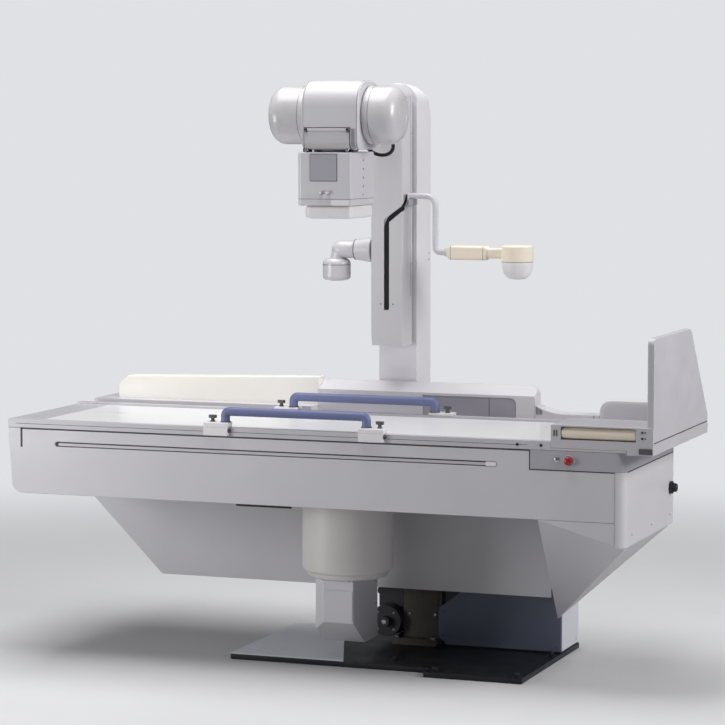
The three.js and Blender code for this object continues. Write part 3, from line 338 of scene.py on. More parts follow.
def rounded(a0, a1, b0, b1, radii, steps=8):
    """Rectangle with one radius, or four: lower left, lower right, upper right, upper left."""
    if not isinstance(radii, tuple):
        radii = (radii,) * 4
    corners = ((a0, b0, 1, 1, 180), (a1, b0, -1, 1, 270), (a1, b1, -1, -1, 0), (a0, b1, 1, -1, 90))
    points = []
    for (a, b, side_a, side_b, start), radius in zip(corners, radii):
        if radius:
            points += arc((a + side_a * radius, b + side_b * radius), radius, start, start + 90, steps)
        else:
            points.append((a, b))
    return points


def ribbon(path, half):
    """Closed outline of a flat strip along a path, with round ends."""
    vectors = [Vector(point) for point in path]
    left, right = [], []
    for index, point in enumerate(vectors):
        before = vectors[max(index - 1, 0)]
        after = vectors[min(index + 1, len(vectors) - 1)]
        along = (after - before).normalized()
        side = Vector((-along.y, along.x)) * half
        left.append(point + side)
        right.append(point - side)
    turn_end = math.degrees(math.atan2(*(vectors[-1] - vectors[-2]).yx))
    turn_start = math.degrees(math.atan2(*(vectors[1] - vectors[0]).yx))
    cap_end = arc(vectors[-1], half, turn_end + 90, turn_end - 90)[1:-1]
    cap_start = arc(vectors[0], half, turn_start - 90, turn_start - 270)[1:-1]
    return [tuple(p) for p in left] + cap_end + [tuple(p) for p in reversed(right)] + cap_start


def fillet(corners, radius, steps=8):
    """Path through the corners with each bend rounded."""
    points = [Vector(corners[0])]
    for before, corner, after in zip(corners, corners[1:], corners[2:]):
        corner = Vector(corner)
        back = Vector(before) - corner
        ahead = Vector(after) - corner
        reach = min(radius, back.length * 0.48, ahead.length * 0.48)
        start = corner + back.normalized() * reach
        end = corner + ahead.normalized() * reach
        for step in range(steps + 1):
            share = step / steps
            points.append(start * (1 - share) ** 2 + corner * 2 * share * (1 - share) + end * share ** 2)
    points.append(Vector(corners[-1]))
    return points


def ring(inner, outer, start, end):
    """Lathe profile of a plain ring, or of a disc where inner is 0."""
    return [(inner, start), (outer, start), (outer, end), (inner, end)]


# Order of the axes in an outline or a profile, for each direction
PRISM_PLACES = {
    "X": lambda a, b, c: (c, a, b),
    "Y": lambda a, b, c: (a, c, b),
    "Z": lambda a, b, c: (a, b, c),
}
LATHE_PLACES = {
    "X": lambda a, b, c: (c, a, b),
    "Y": lambda a, b, c: (b, c, a),
    "Z": lambda a, b, c: (a, b, c),
}


# Pieces: several shapes in one mesh, written in millimetres in the model's frame
class Piece:
    def __init__(self, name, body, *materials):
        self.name = name
        self.body = body
        self.materials = materials
        self.mesh = bmesh.new()

    def faces(self, points, faces, material):
        verts = [self.mesh.verts.new(Vector(point) * MM) for point in points]
        for corners in faces:
            self.mesh.faces.new([verts[index] for index in corners]).material_index = material
        return self

    def box(self, x0, x1, y0, y1, z0, z1, material=0):
        points = [(x, y, z) for z in (z0, z1) for y in (y0, y1) for x in (x0, x1)]
        return self.faces(points, [(0, 2, 3, 1), (4, 5, 7, 6), (0, 1, 5, 4), (2, 6, 7, 3), (0, 4, 6, 2),
                                   (1, 3, 7, 5)], material)

    def prism(self, axis, outline, start, end, material=0):
        """Outline in the two other axes, in the order X, Y, Z, pushed along axis."""
        place = PRISM_PLACES[axis]
        count = len(outline)
        points = [place(a, b, c) for c in (start, end) for a, b in outline]
        sides = [(i, (i + 1) % count, (i + 1) % count + count, i + count) for i in range(count)]
        return self.faces(points, [tuple(range(count)), tuple(range(count, 2 * count)), *sides], material)

    def lathe(self, axis, centre, profile, material=0, sides=48):
        """Pairs of radius and place along the axis, turned about the axis through centre."""
        place = LATHE_PLACES[axis]
        points, rings = [], []
        for radius, along in profile:
            if radius < 1e-6:
                rings.append([len(points)])
                points.append(Vector(centre) + Vector(place(0, 0, along)))
                continue
            rings.append(list(range(len(points), len(points) + sides)))
            for step in range(sides):
                angle = 2 * math.pi * step / sides
                turned = place(radius * math.cos(angle), radius * math.sin(angle), along)
                points.append(Vector(centre) + Vector(turned))
        faces = []
        for lower, upper in zip(rings, rings[1:]):
            for step in range(sides):
                after = (step + 1) % sides
                if len(lower) == 1 and len(upper) > 1:
                    faces.append((lower[0], upper[step], upper[after]))
                elif len(upper) == 1 and len(lower) > 1:
                    faces.append((lower[step], lower[after], upper[0]))
                elif len(lower) > 1:
                    faces.append((lower[step], lower[after], upper[after], upper[step]))
        return self.faces(points, faces, material)

    def tube(self, path, radius, material=0, sides=20):
        path = [Vector(point) for point in path]
        along = (path[1] - path[0]).normalized()
        across = along.orthogonal().normalized()
        points = []
        for index, point in enumerate(path):
            ahead = (path[min(index + 1, len(path) - 1)] - path[max(index - 1, 0)]).normalized()
            across = (across - ahead * across.dot(ahead)).normalized()
            up = ahead.cross(across)
            for step in range(sides):
                angle = 2 * math.pi * step / sides
                points.append(point + (across * math.cos(angle) + up * math.sin(angle)) * radius)
        count = len(path)
        faces = [tuple(range(sides)), tuple(range((count - 1) * sides, count * sides))]
        for start in range(0, (count - 1) * sides, sides):
            end = start + sides
            for step in range(sides):
                after = (step + 1) % sides
                faces.append((start + step, start + after, end + after, end + step))
        return self.faces(points, faces, material)

    def screw(self, axis, side, place, radius, head=0, recess=1):
        """Socket-head screw whose seat is at place; side is 1 or -1 along the axis."""
        rise = radius * 0.5 * side
        cap = [(0, 0), (radius, 0), (radius, rise * 0.7), (radius * 0.86, rise), (0, rise)]
        self.lathe(axis, place, cap, head, 20)
        low, high = rise + 0.05 * side, rise + 0.15 * side
        socket = [(0, rise), (radius * 0.5, low), (radius * 0.5, high), (0, high)]
        return self.lathe(axis, place, socket, recess, 6)

    def done(self, bevel=0.0, segments=2, replaces=()):
        bmesh.ops.recalc_face_normals(self.mesh, faces=self.mesh.faces)
        data = bpy.data.meshes.new(self.name)
        self.mesh.to_mesh(data)
        self.mesh.free()
        for material in self.materials:
            data.materials.append(material)
        made = bpy.data.objects.new(self.name, data)
        bpy.context.scene.collection.objects.link(made)
        soften(made, bevel, segments)
        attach(made, self.body)
        if replaces:
            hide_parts(*replaces)
        return made


# Tube head: rounded housing with its hatch, end drums and cable
TUBE_Z = 1967
TUBE_HALF, TUBE_DEPTH, TUBE_BOTTOM, TUBE_TOP = 106, 122, 1846, 2088
TUBE_LOW_ROUND, TUBE_HIGH_ROUND = 30, 92
DRUM_RADIUS, DRUM_ROUND = 103, 48
DRUM_LENGTHS = {"left": 148, "right": 122}
HUB_RADIUS, ARM_RADIUS = 47, 48
CABLE_RADIUS = 6.4
CABLE_START, CABLE_END = (142, 112, 1894.5), (34, 131, 1880)
CABLE_FALL = (0, 0.628, -0.778)
CABLE_LEG = 15


def hatch_band(grow, top, sweep):
    """Band that follows the housing's lower front corner, standing out by grow."""
    low = TUBE_BOTTOM + TUBE_LOW_ROUND
    centre = (-TUBE_DEPTH + TUBE_LOW_ROUND, low)
    outer = [(-TUBE_DEPTH - grow, top), *arc(centre, TUBE_LOW_ROUND + grow, 180, 180 + sweep)]
    inner = [(-TUBE_DEPTH + 3, top), *arc(centre, TUBE_LOW_ROUND - 3, 180, 180 + sweep)]
    return outer + inner[::-1]


def add_cable():
    """High-tension lead that leaves the right drum and returns into the housing's rear."""
    start, end, fall = Vector(CABLE_START), Vector(CABLE_END), Vector(CABLE_FALL).normalized()
    start_leg = CABLE_LEG + (end - start).dot(fall)
    high, low = start + fall * start_leg, end + fall * CABLE_LEG
    middle, across = (high + low) / 2, (high - low) / 2
    points = [start + fall * start_leg * step / 4 for step in range(4)]
    for step in range(19):
        angle = math.pi * step / 18
        points.append(middle + across * math.cos(angle) + fall * across.length * math.sin(angle))
    points += [end + fall * CABLE_LEG / 2, end]
    data = bpy.data.curves.new("tube_lead", "CURVE")
    data.dimensions = "3D"
    data.bevel_depth = CABLE_RADIUS * MM
    data.bevel_resolution = 5
    data.use_fill_caps = True
    spline = data.splines.new("POLY")
    spline.points.add(len(points) - 1)
    for target, point in zip(spline.points, points):
        target.co = (*(point * MM), 1)
    spline.use_smooth = True
    data.materials.append(RUBBER)
    lead = bpy.data.objects.new("tube_lead", data)
    bpy.context.scene.collection.objects.link(lead)
    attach(lead, "tube_head")
    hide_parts("hv_cable")


def build_tube_head():
    left, right = -TUBE_HALF, TUBE_HALF
    radii = (TUBE_LOW_ROUND, TUBE_LOW_ROUND, TUBE_HIGH_ROUND, TUBE_HIGH_ROUND)
    shell = Piece("tube_shell", "tube_head", HEAD)
    shell.prism("X", rounded(-TUBE_DEPTH, TUBE_DEPTH, TUBE_BOTTOM, TUBE_TOP, radii, 12), left, right)
    shell.lathe("Y", (0, 0, TUBE_Z), ring(0, HUB_RADIUS, 121, 160))
    shell.lathe("Z", (COLL_X, 0, 0), ring(0, 80, 1838, 1850))
    shell.done(7, 4, ["tube_housing"])

    fit = Piece("tube_fittings", "tube_head", HEAD, SEAM, BLACK, CHROME, GREY, RAIL)
    hatch_left, hatch_right, hatch_top = -94, 74, 1922
    fit.prism("X", hatch_band(0.7, hatch_top + 2.5, 64), hatch_left - 2.5, hatch_right + 2.5, 1)
    fit.prism("X", hatch_band(2.6, hatch_top, 60), hatch_left, hatch_right, 5)
    fit.box(hatch_left, hatch_right, -126, -TUBE_DEPTH, hatch_top - 9, hatch_top, 0)
    for rib in range(4):
        rib_x = hatch_right + 6 + rib * 4
        fit.prism("X", hatch_band(2.2, hatch_top - 2, 58), rib_x, rib_x + 2, 4)
    for latch_x in (-88, 68):
        fit.box(latch_x - 5, latch_x + 5, -127.5, -TUBE_DEPTH, 1908, 1921, 2)
        fit.box(latch_x - 3, latch_x + 3, -129, -127, 1906, 1914, 3)
    for clasp_x in (-92, 62):
        fit.box(clasp_x - 13, clasp_x + 13, -108, -84, 1838.5, 1852, 2)
        pin = [(0, -116), (5.6, -116), (6.4, -115), (6.4, -107), (0, -107)]
        fit.lathe("Y", (clasp_x, 0, 1845), pin, 3, 24)
    for seam_x in (left + 6, right - 6):
        band = rounded(-TUBE_DEPTH - 0.25, TUBE_DEPTH + 0.25, TUBE_BOTTOM - 0.25, TUBE_TOP + 0.25, radii, 12)
        fit.prism("X", band, seam_x - 0.6, seam_x + 0.6, 1)
    for turn in range(8):
        angle = math.radians(22.5 + 45 * turn)
        bolt = (62 * math.cos(angle), 0, TUBE_Z + 62 * math.sin(angle))
        fit.lathe("Y", bolt, ring(0, 4, 121, 126), 3, 6)
    for screw_x in (-84, 84):
        fit.screw("Y", 1, (screw_x, TUBE_DEPTH, 1905), 5, 3, 2)
    lug = CABLE_START
    fit.lathe("Y", (lug[0], 0, lug[2]), [(0, 70), (15, 70), (15, 104), (11, 110), (8, 116), (0, 116)], 2, 28)
    clip = CABLE_END
    holder = rounded(clip[0] - 13, clip[0] + 13, clip[2] - 10, clip[2] + 14, 6)
    fit.prism("Y", holder, 121.5, 137, 2)
    fit.done(0.5, 2)

    for side, word in ((-1, "left"), (1, "right")):
        length = DRUM_LENGTHS[word]
        start = side * (TUBE_HALF + 0.3)
        corner = arc((DRUM_RADIUS - DRUM_ROUND, length - DRUM_ROUND), DRUM_ROUND, 0, 90, 10)
        profile = [(0, 0), (97, 0), (97, 5), (DRUM_RADIUS - 1, 5), (DRUM_RADIUS, 6), *corner, (44, length),
                   (43, length - 1), (40, length - 1), (39, length), (0, length)]
        drum = Piece(f"drum_{word}", "tube_head", DRUM)
        drum.lathe("X", (0, 0, TUBE_Z), [(radius, start + side * along) for radius, along in profile], 0, 80)
        drum.done(0, 1, [f"tube_end_{word}"])
        seam_x = start + side * 26
        seam = Piece(f"drum_{word}_seam", "tube_head", SEAM, CHROME, BLACK)
        band = ring(DRUM_RADIUS - 2, DRUM_RADIUS + 0.25, seam_x - 0.7, seam_x + 0.7)
        seam.lathe("X", (0, 0, TUBE_Z), band, 0, 80)
        back = math.sqrt(DRUM_RADIUS ** 2 - 40 ** 2)
        for height in (TUBE_Z - 40, TUBE_Z + 40):
            seam.screw("Y", 1, (start + side * 50, back, height), 4, 1, 2)
        seam.done(0, 1)


# Collimator under the tube
COLL_X = -23
COLL_LEFT, COLL_RIGHT, COLL_FRONT = -124, 78, -118
COLL_TOP, COLL_BOTTOM = 1837.7, 1649.7
KNOB_Z = 1695.7


def build_collimator():
    shell = Piece("collimator_shell", "collimator", HEAD)
    plan = rounded(COLL_LEFT, COLL_RIGHT, COLL_FRONT, -COLL_FRONT, (16, 0, 0, 16))
    shell.prism("Z", plan, COLL_BOTTOM, COLL_TOP)
    shell.done(6, 4, ["collimator_body"])

    block = Piece("collimator_lower", "collimator", PALE)
    block.prism("Z", rounded(-100, 74, -114, 114, (22, 10, 10, 10)), 1605.4, 1649.4)
    block.done(9, 4, ["collimator_window"])

    fit = Piece("collimator_fittings", "collimator", GREY, SEAM, CAP, PALE, CHROME, BLACK, KNOB)
    front = COLL_FRONT
    fit.prism("Y", rounded(-76, 27, 1736, 1832, 4), front - 0.8, front + 1, 6)
    fit.prism("Y", rounded(-74, 25, 1738, 1830, 3), front - 1.6, front - 0.6, 0)
    fit.box(4, 72, front - 1.3, front + 1, 1653, 1670, 3)
    band = rounded(COLL_LEFT - 0.3, COLL_RIGHT + 0.3, front - 0.3, 118.3, (16, 5, 5, 16))
    fit.prism("Z", band, 1673, 1674.2, 1)
    for height in (1809, 1778, 1747, 1717, 1688):
        fit.screw("X", 1, (COLL_RIGHT, 4, height), 3.6, 4, 5)
    fit.box(COLL_LEFT - 1.2, COLL_LEFT, -60, 90, 1700, 1800, 2)
    fit.box(-84, 58, -88, 88, 1604.4, 1606, 5)
    fit.box(-84, 58, -0.6, 0.6, 1604.1, 1604.6, 3)
    fit.box(COLL_X - 0.6, COLL_X + 0.6, -88, 88, 1604.1, 1604.6, 3)
    fit.done(0.4, 2)

    for side, knob_x in (("left", -34), ("right", -8)):
        knob = Piece(f"knob_{side}", f"collimator_knob_{side}", CAP, PALE)
        teeth = []
        for step in range(36):
            angle = 2 * math.pi * step / 36
            radius = 7 if step % 2 else 6.4
            teeth.append((knob_x + radius * math.cos(angle), KNOB_Z + radius * math.sin(angle)))
        knob.prism("Y", teeth, -129.5, -118.3)
        knob.lathe("Y", (knob_x, 0, KNOB_Z), [(0, -130.3), (4.6, -130.3), (5.2, -129.4), (0, -129.4)], 1, 24)
        knob.done(0.3, 1, [f"collimator_knob_{side}"])


# Column: carriage with its bent slot, whose inside is a near-black sheet of painted shade, mast with its rear
# cover
CARRIAGE_FRONT, CARRIAGE_LEFT, CARRIAGE_RIGHT, FACE_RIGHT = 428, -57, 81, 72
MAST_LEFT, MAST_RIGHT, MAST_REAR = -52, 96, 683


def build_column():
    # The slot strip and its turn round the corner are a near-black sheet: painted shade inside the slot
    slot = Piece("carriage_slot_shade", "tube_carriage", SLOT_SHADE)
    bend = [tuple(p) for p in fillet([(12, 1500), (12, 1578), (FACE_RIGHT + 1, 1626)], 30, 8)]
    slot.prism("Y", ribbon([(12, 1259), *bend], 9.2), CARRIAGE_FRONT + 0.6, CARRIAGE_FRONT + 3.6)
    edge = [(0, 1616), (0.35, 1632), (0.7, 1652), (0.8, 1664), (0.8, 1676), (0.62, 1676), (0.5, 1662),
            (0.25, 1646), (0, 1637)]
    corners = []
    for out in (-0.6, 0.9):
        for share, height in edge:
            corners.append((FACE_RIGHT + 9 * share + out, CARRIAGE_FRONT + 50 * share - out * 0.18, height))
    count = len(edge)
    sides = [(i, (i + 1) % count, (i + 1) % count + count, i + count) for i in range(count)]
    slot.faces(corners, [tuple(range(count)), tuple(range(count, 2 * count)), *sides], 0)
    slot.done(0, 1)

    fit = Piece("carriage_fittings", "tube_carriage", BLACK, CHROME, SEAM, COLUMN)
    for screw_x in (-10, 38):
        fit.screw("Y", -1, (screw_x, CARRIAGE_FRONT, 1272), 3.6, 1, 0)
    for side_x, way in ((CARRIAGE_LEFT, -1), (CARRIAGE_RIGHT, 1)):
        fit.box(side_x - 0.35, side_x + 0.35, 496, 497.5, 1300, 2034, 2)
        for height in (1420, 1900):
            fit.screw("X", way, (side_x, 506, height), 3.4, 1, 0)
    collar = [(ARM_RADIUS, 408), (57, 408), (59, 410), (59, 428), (ARM_RADIUS, 428)]
    fit.lathe("Y", (0, 0, TUBE_Z), collar, 3, 56)
    fit.done(0.4, 2)

    mast = Piece("mast_fittings", "mast_carriage", SEAM, CHROME, BLACK, COLUMN)
    for side_x, way in ((MAST_LEFT, -1), (MAST_RIGHT, 1)):
        for height in (1430, 1452):
            mast.screw("X", way, (side_x, 660, height), 4, 1, 2)
    middle = (MAST_LEFT + MAST_RIGHT) / 2
    seam = rounded(middle - 62, middle + 62, 1000, 1930, 10)
    mast.prism("Y", seam, MAST_REAR - 1, MAST_REAR + 0.5, 0)
    cover = rounded(middle - 60, middle + 60, 1002, 1928, 9)
    mast.prism("Y", cover, MAST_REAR, MAST_REAR + 2.2, 3)
    for height in (1020, 1320, 1620, 1910):
        for screw_x in (middle - 51, middle + 51):
            mast.screw("Y", 1, (screw_x, MAST_REAR + 2.2, height), 4.5, 1, 2)
    for louvre in range(9):
        low = 1120 + louvre * 11
        vent = rounded(middle - 38, middle + 38, low, low + 5, 2.4, 4)
        mast.prism("Y", vent, MAST_REAR + 1.6, MAST_REAR + 2.4, 2)
    mast.box(middle - 130.5, middle + 130.5, 527.6, 687.4, 940, 941.5, 0)
    for way in (-1, 1):
        for screw_y in (560, 655):
            mast.screw("X", way, (middle + way * 130, screw_y, 905), 5, 1, 2)
    mast.done(0.4, 2)


# Compressor arm with its grip and bowl, and the observation head
SWING_Y, SWING_Z = 447, 1672
PIPE_RADIUS, PIPE_DOWN_X, PIPE_LOW = 11, 196, 1466
BOWL_X = 512
EYE_Y, EYE_Z, EYE_CAN_X = 473, 1470, -202


def build_carriage_arms():
    low = PIPE_LOW
    arm = Piece("compressor_arm_tube", "compressor_arm", HEAD)
    bends = [(93.3, SWING_Y, SWING_Z), (PIPE_DOWN_X, SWING_Y, SWING_Z), (PIPE_DOWN_X, SWING_Y, low),
             (244.7, SWING_Y, low)]
    arm.tube(fillet(bends, 44, 10), PIPE_RADIUS, 0, 28)
    arm.lathe("X", (0, SWING_Y, low), [(10, 232), (14, 233), (15, 236), (15, 244.7), (10, 244.7)], 0, 32)
    arm.done(0.6, 2, ["compressor_pipe"])

    grip = Piece("compressor_handle", "compressor_arm", BEIGE)
    grip.prism("Y", rounded(245, 402, low - 26, low + 26, (18, 12, 12, 18)), 422, 472)
    grip.done(9, 4, ["compressor_grip"])
    neck = Piece("compressor_neck", "compressor_arm", BEIGE, SEAM, CHROME, BLACK)
    neck.prism("X", rounded(429, 465, low - 19, low + 19, 8), 400, 470)
    rim = arc((52, low + 23), 6, 0, 90, 6)
    bowl_place = (BOWL_X, SWING_Y, 0)
    cap = [(0, low - 29), (57, low - 29), (58, low - 28), *rim, (0, low + 29)]
    neck.lathe("Z", bowl_place, cap, 0, 64)
    neck.lathe("Z", bowl_place, ring(54, 57.4, low - 30, low - 28.6), 1, 64)
    for seam_x in (262, 386):
        neck.prism("X", rounded(421.8, 472.2, low - 26.2, low + 26.2, 8), seam_x, seam_x + 1.2, 1)
    for screw_x in (290, 350):
        neck.screw("Y", 1, (screw_x, 472, low), 3.6, 2, 3)
    neck.done(0.6, 2)
    bowl = Piece("compressor_bowl", "compressor_arm", PALE)
    top = low - 29.3
    drops = [(56.5, 0), (57.5, 2), (56.5, 14), (53, 32), (47, 47), (38, 57), (28, 62), (14, 64), (0, 64)]
    bowl.lathe("Z", bowl_place, [(0, top), *[(radius, top - drop) for radius, drop in drops]], 0, 64)
    bowl.done(0, 1, ["compressor_cone"])

    bracket = Piece("eye_bracket", "tube_carriage", COLUMN, SEAM)
    eye_place = (0, EYE_Y, EYE_Z)
    base = [(0, -57.3), (45, -57.3), (46, -58.5), (45, -72)]
    cone = [*base, (40, -104), (38, -122), (37, -128.8), (0, -128.8)]
    bracket.lathe("X", eye_place, cone, 0, 56)
    band = [(36, -122), (38.6, -122), (38.4, -125), (36, -125)]
    bracket.lathe("X", eye_place, band, 1, 56)
    bracket.done(0, 1, ["observation_bracket"])
    head = Piece("eye_head", "observation_head", DRUM, SEAM, BLACK)
    elbow = [(0, -130), (31, -130), (32.5, -132), (32.5, -180), (30, -196), (24, -208), (13, -217), (0, -220)]
    head.lathe("X", eye_place, elbow, 0, 48)
    centre = (EYE_CAN_X, EYE_Y, 0)
    neck_path = [(-160, EYE_Y, EYE_Z - 4), (-190, EYE_Y, EYE_Z - 6), (EYE_CAN_X + 4, EYE_Y, 1425)]
    head.tube(fillet(neck_path, 16, 8), 29, 0, 36)
    low = arc((38, 1370), 14, 270, 360, 6)
    crown = arc((32, 1416), 20, 0, 90, 8)
    head.lathe("Z", centre, [(0, 1356), *low, *crown, (0, 1436)], 0, 56)
    head.lathe("Z", centre, ring(50, 52.4, 1412, 1413.6), 1, 56)
    head.lathe("Z", centre, [(0, 1354.4), (30, 1354.4), (32, 1356.4), (0, 1356.4)], 2, 40)
    head.done(0, 1, ["observation_head"])


# Table body: groove strip, seams, control cap fittings, rear covers
FRONT_Y, END_X = -294, 1120
STOP_X, STOP_Z = 926, 811
HOOD_FRONT, COVER_REAR = 440, 515


def build_body():
    fit = Piece("body_fittings", "table", SEAM, RAIL, CHROME, BLACK, PALE)
    fit.prism("Y", rounded(-992, 672, 780.6, 797.4, 8.3), FRONT_Y + 4.2, FRONT_Y + 5.2, 0)
    fit.prism("Y", rounded(-980, 668, 784, 793.5, 4.7), FRONT_Y + 1.6, FRONT_Y + 4.6, 1)
    fit.prism("Y", rounded(632, 671, 782, 796.5, (4, 7, 7, 4)), FRONT_Y + 0.6, FRONT_Y + 4.6, 4)
    fit.box(-1129, 786, FRONT_Y - 0.3, FRONT_Y + 1, 839.2, 843.8, 0)
    fit.box(-1131, -1123, FRONT_Y - 0.3, FRONT_Y + 1, 774, 843.8, 0)
    fit.box(789, 1084, FRONT_Y - 0.4, FRONT_Y + 1, 775, 779, 0)
    fit.box(786.5, 789.5, FRONT_Y - 0.4, FRONT_Y + 1, 775, 844, 0)
    fit.box(END_X - 1, END_X + 0.4, -256, 362, 775, 779, 0)
    for screw_y in (-200, 60, 320):
        fit.screw("X", 1, (END_X, screw_y, 560), 4, 2, 3)
    for screw_x in (-1080, -560, -40, 480, 1000):
        fit.screw("Y", 1, (screw_x, 284, 700), 5, 2, 3)
    fit.done(0.4, 2)

    panel = Piece("control_fittings", "table", CAP, CHROME, BLACK)
    collar = [(15.6, 1), (19.6, 1), (19.6, -1.6), (18.4, -2.4), (15.6, -2.4)]
    panel.lathe("Y", (STOP_X, FRONT_Y, STOP_Z), collar, 0, 36)
    key = [(0, FRONT_Y - 3.2), (7, FRONT_Y - 3.2), (9, FRONT_Y - 2), (9, FRONT_Y + 1), (0, FRONT_Y + 1)]
    panel.lathe("Y", (885, 0, 814), key, 1, 28)
    panel.box(884.2, 885.8, FRONT_Y - 3.6, FRONT_Y - 3, 809, 819, 2)
    panel.done(0.3, 2)

    skirt = Piece("skirt_fittings", "table", BLACK, CHROME)
    skirt.prism("Y", rounded(-532, -307, 513, 521, 3), 279.2, 280.4, 0)
    for screw_x in (-700, -250, 200, 640):
        skirt.screw("Y", 1, (screw_x, 284, 262), 4.5, 1, 0)
    skirt.done(0.4, 2)

    covers = Piece("cover_fittings", "table", GREY, SEAM, CHROME, BLACK, BODY)
    covers.prism("Y", rounded(152, 508, 838, 936, (0, 0, 21, 0)), HOOD_FRONT + 3.2, HOOD_FRONT + 6.4, 0)
    covers.box(406, 408, HOOD_FRONT + 2.8, HOOD_FRONT + 4, 838, 935, 1)
    for screw_x in (170, 300, 440):
        covers.screw("Y", -1, (screw_x, HOOD_FRONT + 3.2, 852), 3.4, 2, 3)
    for rib in range(5):
        rib_x = 588 + rib * 5
        covers.box(rib_x, rib_x + 2, HOOD_FRONT - 0.8, HOOD_FRONT + 1, 882, 911 - rib * 3, 1)
    covers.box(804, 806, HOOD_FRONT - 0.4, HOOD_FRONT + 1, 838, 887.6, 1)
    covers.prism("Y", rounded(842, 1002, 842, 932, (0, 0, 4, 34)), HOOD_FRONT - 0.8, HOOD_FRONT + 1, 4)
    for screw_x in (-1000, -640, -300, -200, 160, 540, 640, 800, 860, 980):
        covers.screw("Y", 1, (screw_x, COVER_REAR, 862), 4.5, 2, 3)
    for seam_x in (-680, 160):
        covers.box(seam_x, seam_x + 1.6, COVER_REAR - 1, COVER_REAR + 0.4, 838, 940, 1)
    covers.done(0.4, 2)

    button = Piece("stop_button", "emergency_stop", RED)
    crown = FRONT_Y - 7
    dome = [(14, crown - 6), (13.4, crown - 9), (11, crown - 11.4), (6, crown - 12.8), (0, crown - 13)]
    stem = [(0, crown), (8.4, crown + 5), (8.4, crown), (12.5, crown), (14, crown - 2)]
    button.lathe("Y", (STOP_X, 0, STOP_Z), [*stem, *dome], 0, 40)
    button.done(0, 1, ["emergency_stop"])

    knob = Piece("end_knob_grip", "end_knob", BLACK, CHROME)
    flutes = []
    for step in range(48):
        angle = 2 * math.pi * step / 48
        radius = 22 if step % 4 else 20.6
        flutes.append((318 + radius * math.cos(angle), 655 + radius * math.sin(angle)))
    knob.prism("X", flutes, END_X + 0.4, END_X + 11)
    nose = [(16, END_X + 10), (15.4, END_X + 22), (13, END_X + 26), (0, END_X + 26)]
    knob.lathe("X", (0, 318, 655), nose, 0, 40)
    knob.box(END_X + 25.6, END_X + 26.4, 317, 319, 657, 668, 1)
    knob.done(0.8, 2, ["end_knob"])


# Tabletop: rails, roller frame, roller and footrest
ROLLER_Y, ROLLER_Z, ROLLER_LEFT, ROLLER_RIGHT = -272, 904, 897, 1155.7


def build_tabletop():
    fit = Piece("rail_fittings", "tabletop", SEAM, CHROME, BLACK, KNOB)
    for screw_x in (745, 828):
        fit.screw("Y", -1, (screw_x, FRONT_Y, 860), 5, 2, 2)
    fit.box(-1150, 780, FRONT_Y - 0.2, FRONT_Y + 1, 858.5, 860, 0)
    for screw_x in (-1120, -800, 0, 800, 1080):
        fit.screw("Y", 1, (screw_x, 300, 866), 4.5, 1, 2)
    for screw_y in (-250, 0, 250):
        fit.screw("X", -1, (-1181, screw_y, 860), 4.5, 1, 2)
    for mark_x in (874, 883):
        fit.prism("Y", rounded(mark_x - 2.4, mark_x + 2.4, 893, 915, 2.3, 4), FRONT_Y - 0.6, FRONT_Y + 1, 0)
    for height in (896, 916):
        fit.screw("Y", -1, (1178, FRONT_Y, height), 3.8, 2, 2)
        fit.screw("Y", -1, (1188, FRONT_Y, height), 2.6, 2, 2)
    fit.prism("Y", rounded(1167, 1213, 843, 862, (4, 3, 3, 4)), FRONT_Y - 3.2, FRONT_Y + 1, 3)
    fit.done(0.4, 2)

    outline = []
    for share in range(40):
        angle = 2 * math.pi * share / 40
        outline.append((-925 + 74 * math.cos(angle), 22 + 28 * math.sin(angle)))
    mark = Piece("tabletop_mark", "tabletop", WHITE)
    mark.prism("Z", outline, 874.6, 875.15)
    mark.done(0, 1)

    roller = Piece("roller_sleeve", "support_roller", BEIGE, SEAM)
    roller_place = (0, ROLLER_Y, ROLLER_Z)
    left_end = [(0, ROLLER_LEFT), (17, ROLLER_LEFT), (20, ROLLER_LEFT + 3)]
    right_end = [(20, ROLLER_RIGHT - 3), (17, ROLLER_RIGHT), (0, ROLLER_RIGHT)]
    roller.lathe("X", roller_place, left_end + right_end, 0, 48)
    for along in (ROLLER_LEFT - 13, ROLLER_RIGHT - 0.5):
        roller.lathe("X", roller_place, ring(0, 6, along, along + 13.5), 1, 20)
    roller.done(0, 1, ["support_roller"])

    mat = Piece("footrest_mat", "footrest", GREY, SEAM)
    for row in range(11):
        low = 905 + row * 26
        reach = 440 - max(0, low - 890) * 0.78
        mat.prism("X", rounded(-250, reach, low, low + 16, 4, 4), 1188.6, 1191.4, 0)
    mat.box(1213, 1215.4, -283, 472, 877.6, 880.4, 1)
    mat.done(0.6, 2)


# Handgrips: bars, clamps with their screws, and locking knobs
GRIPS = {"front": (-332, 196, -294, -1, 875), "rear": (-300, 252, 300, 1, 883)}
CLAMP_LENGTH = 92


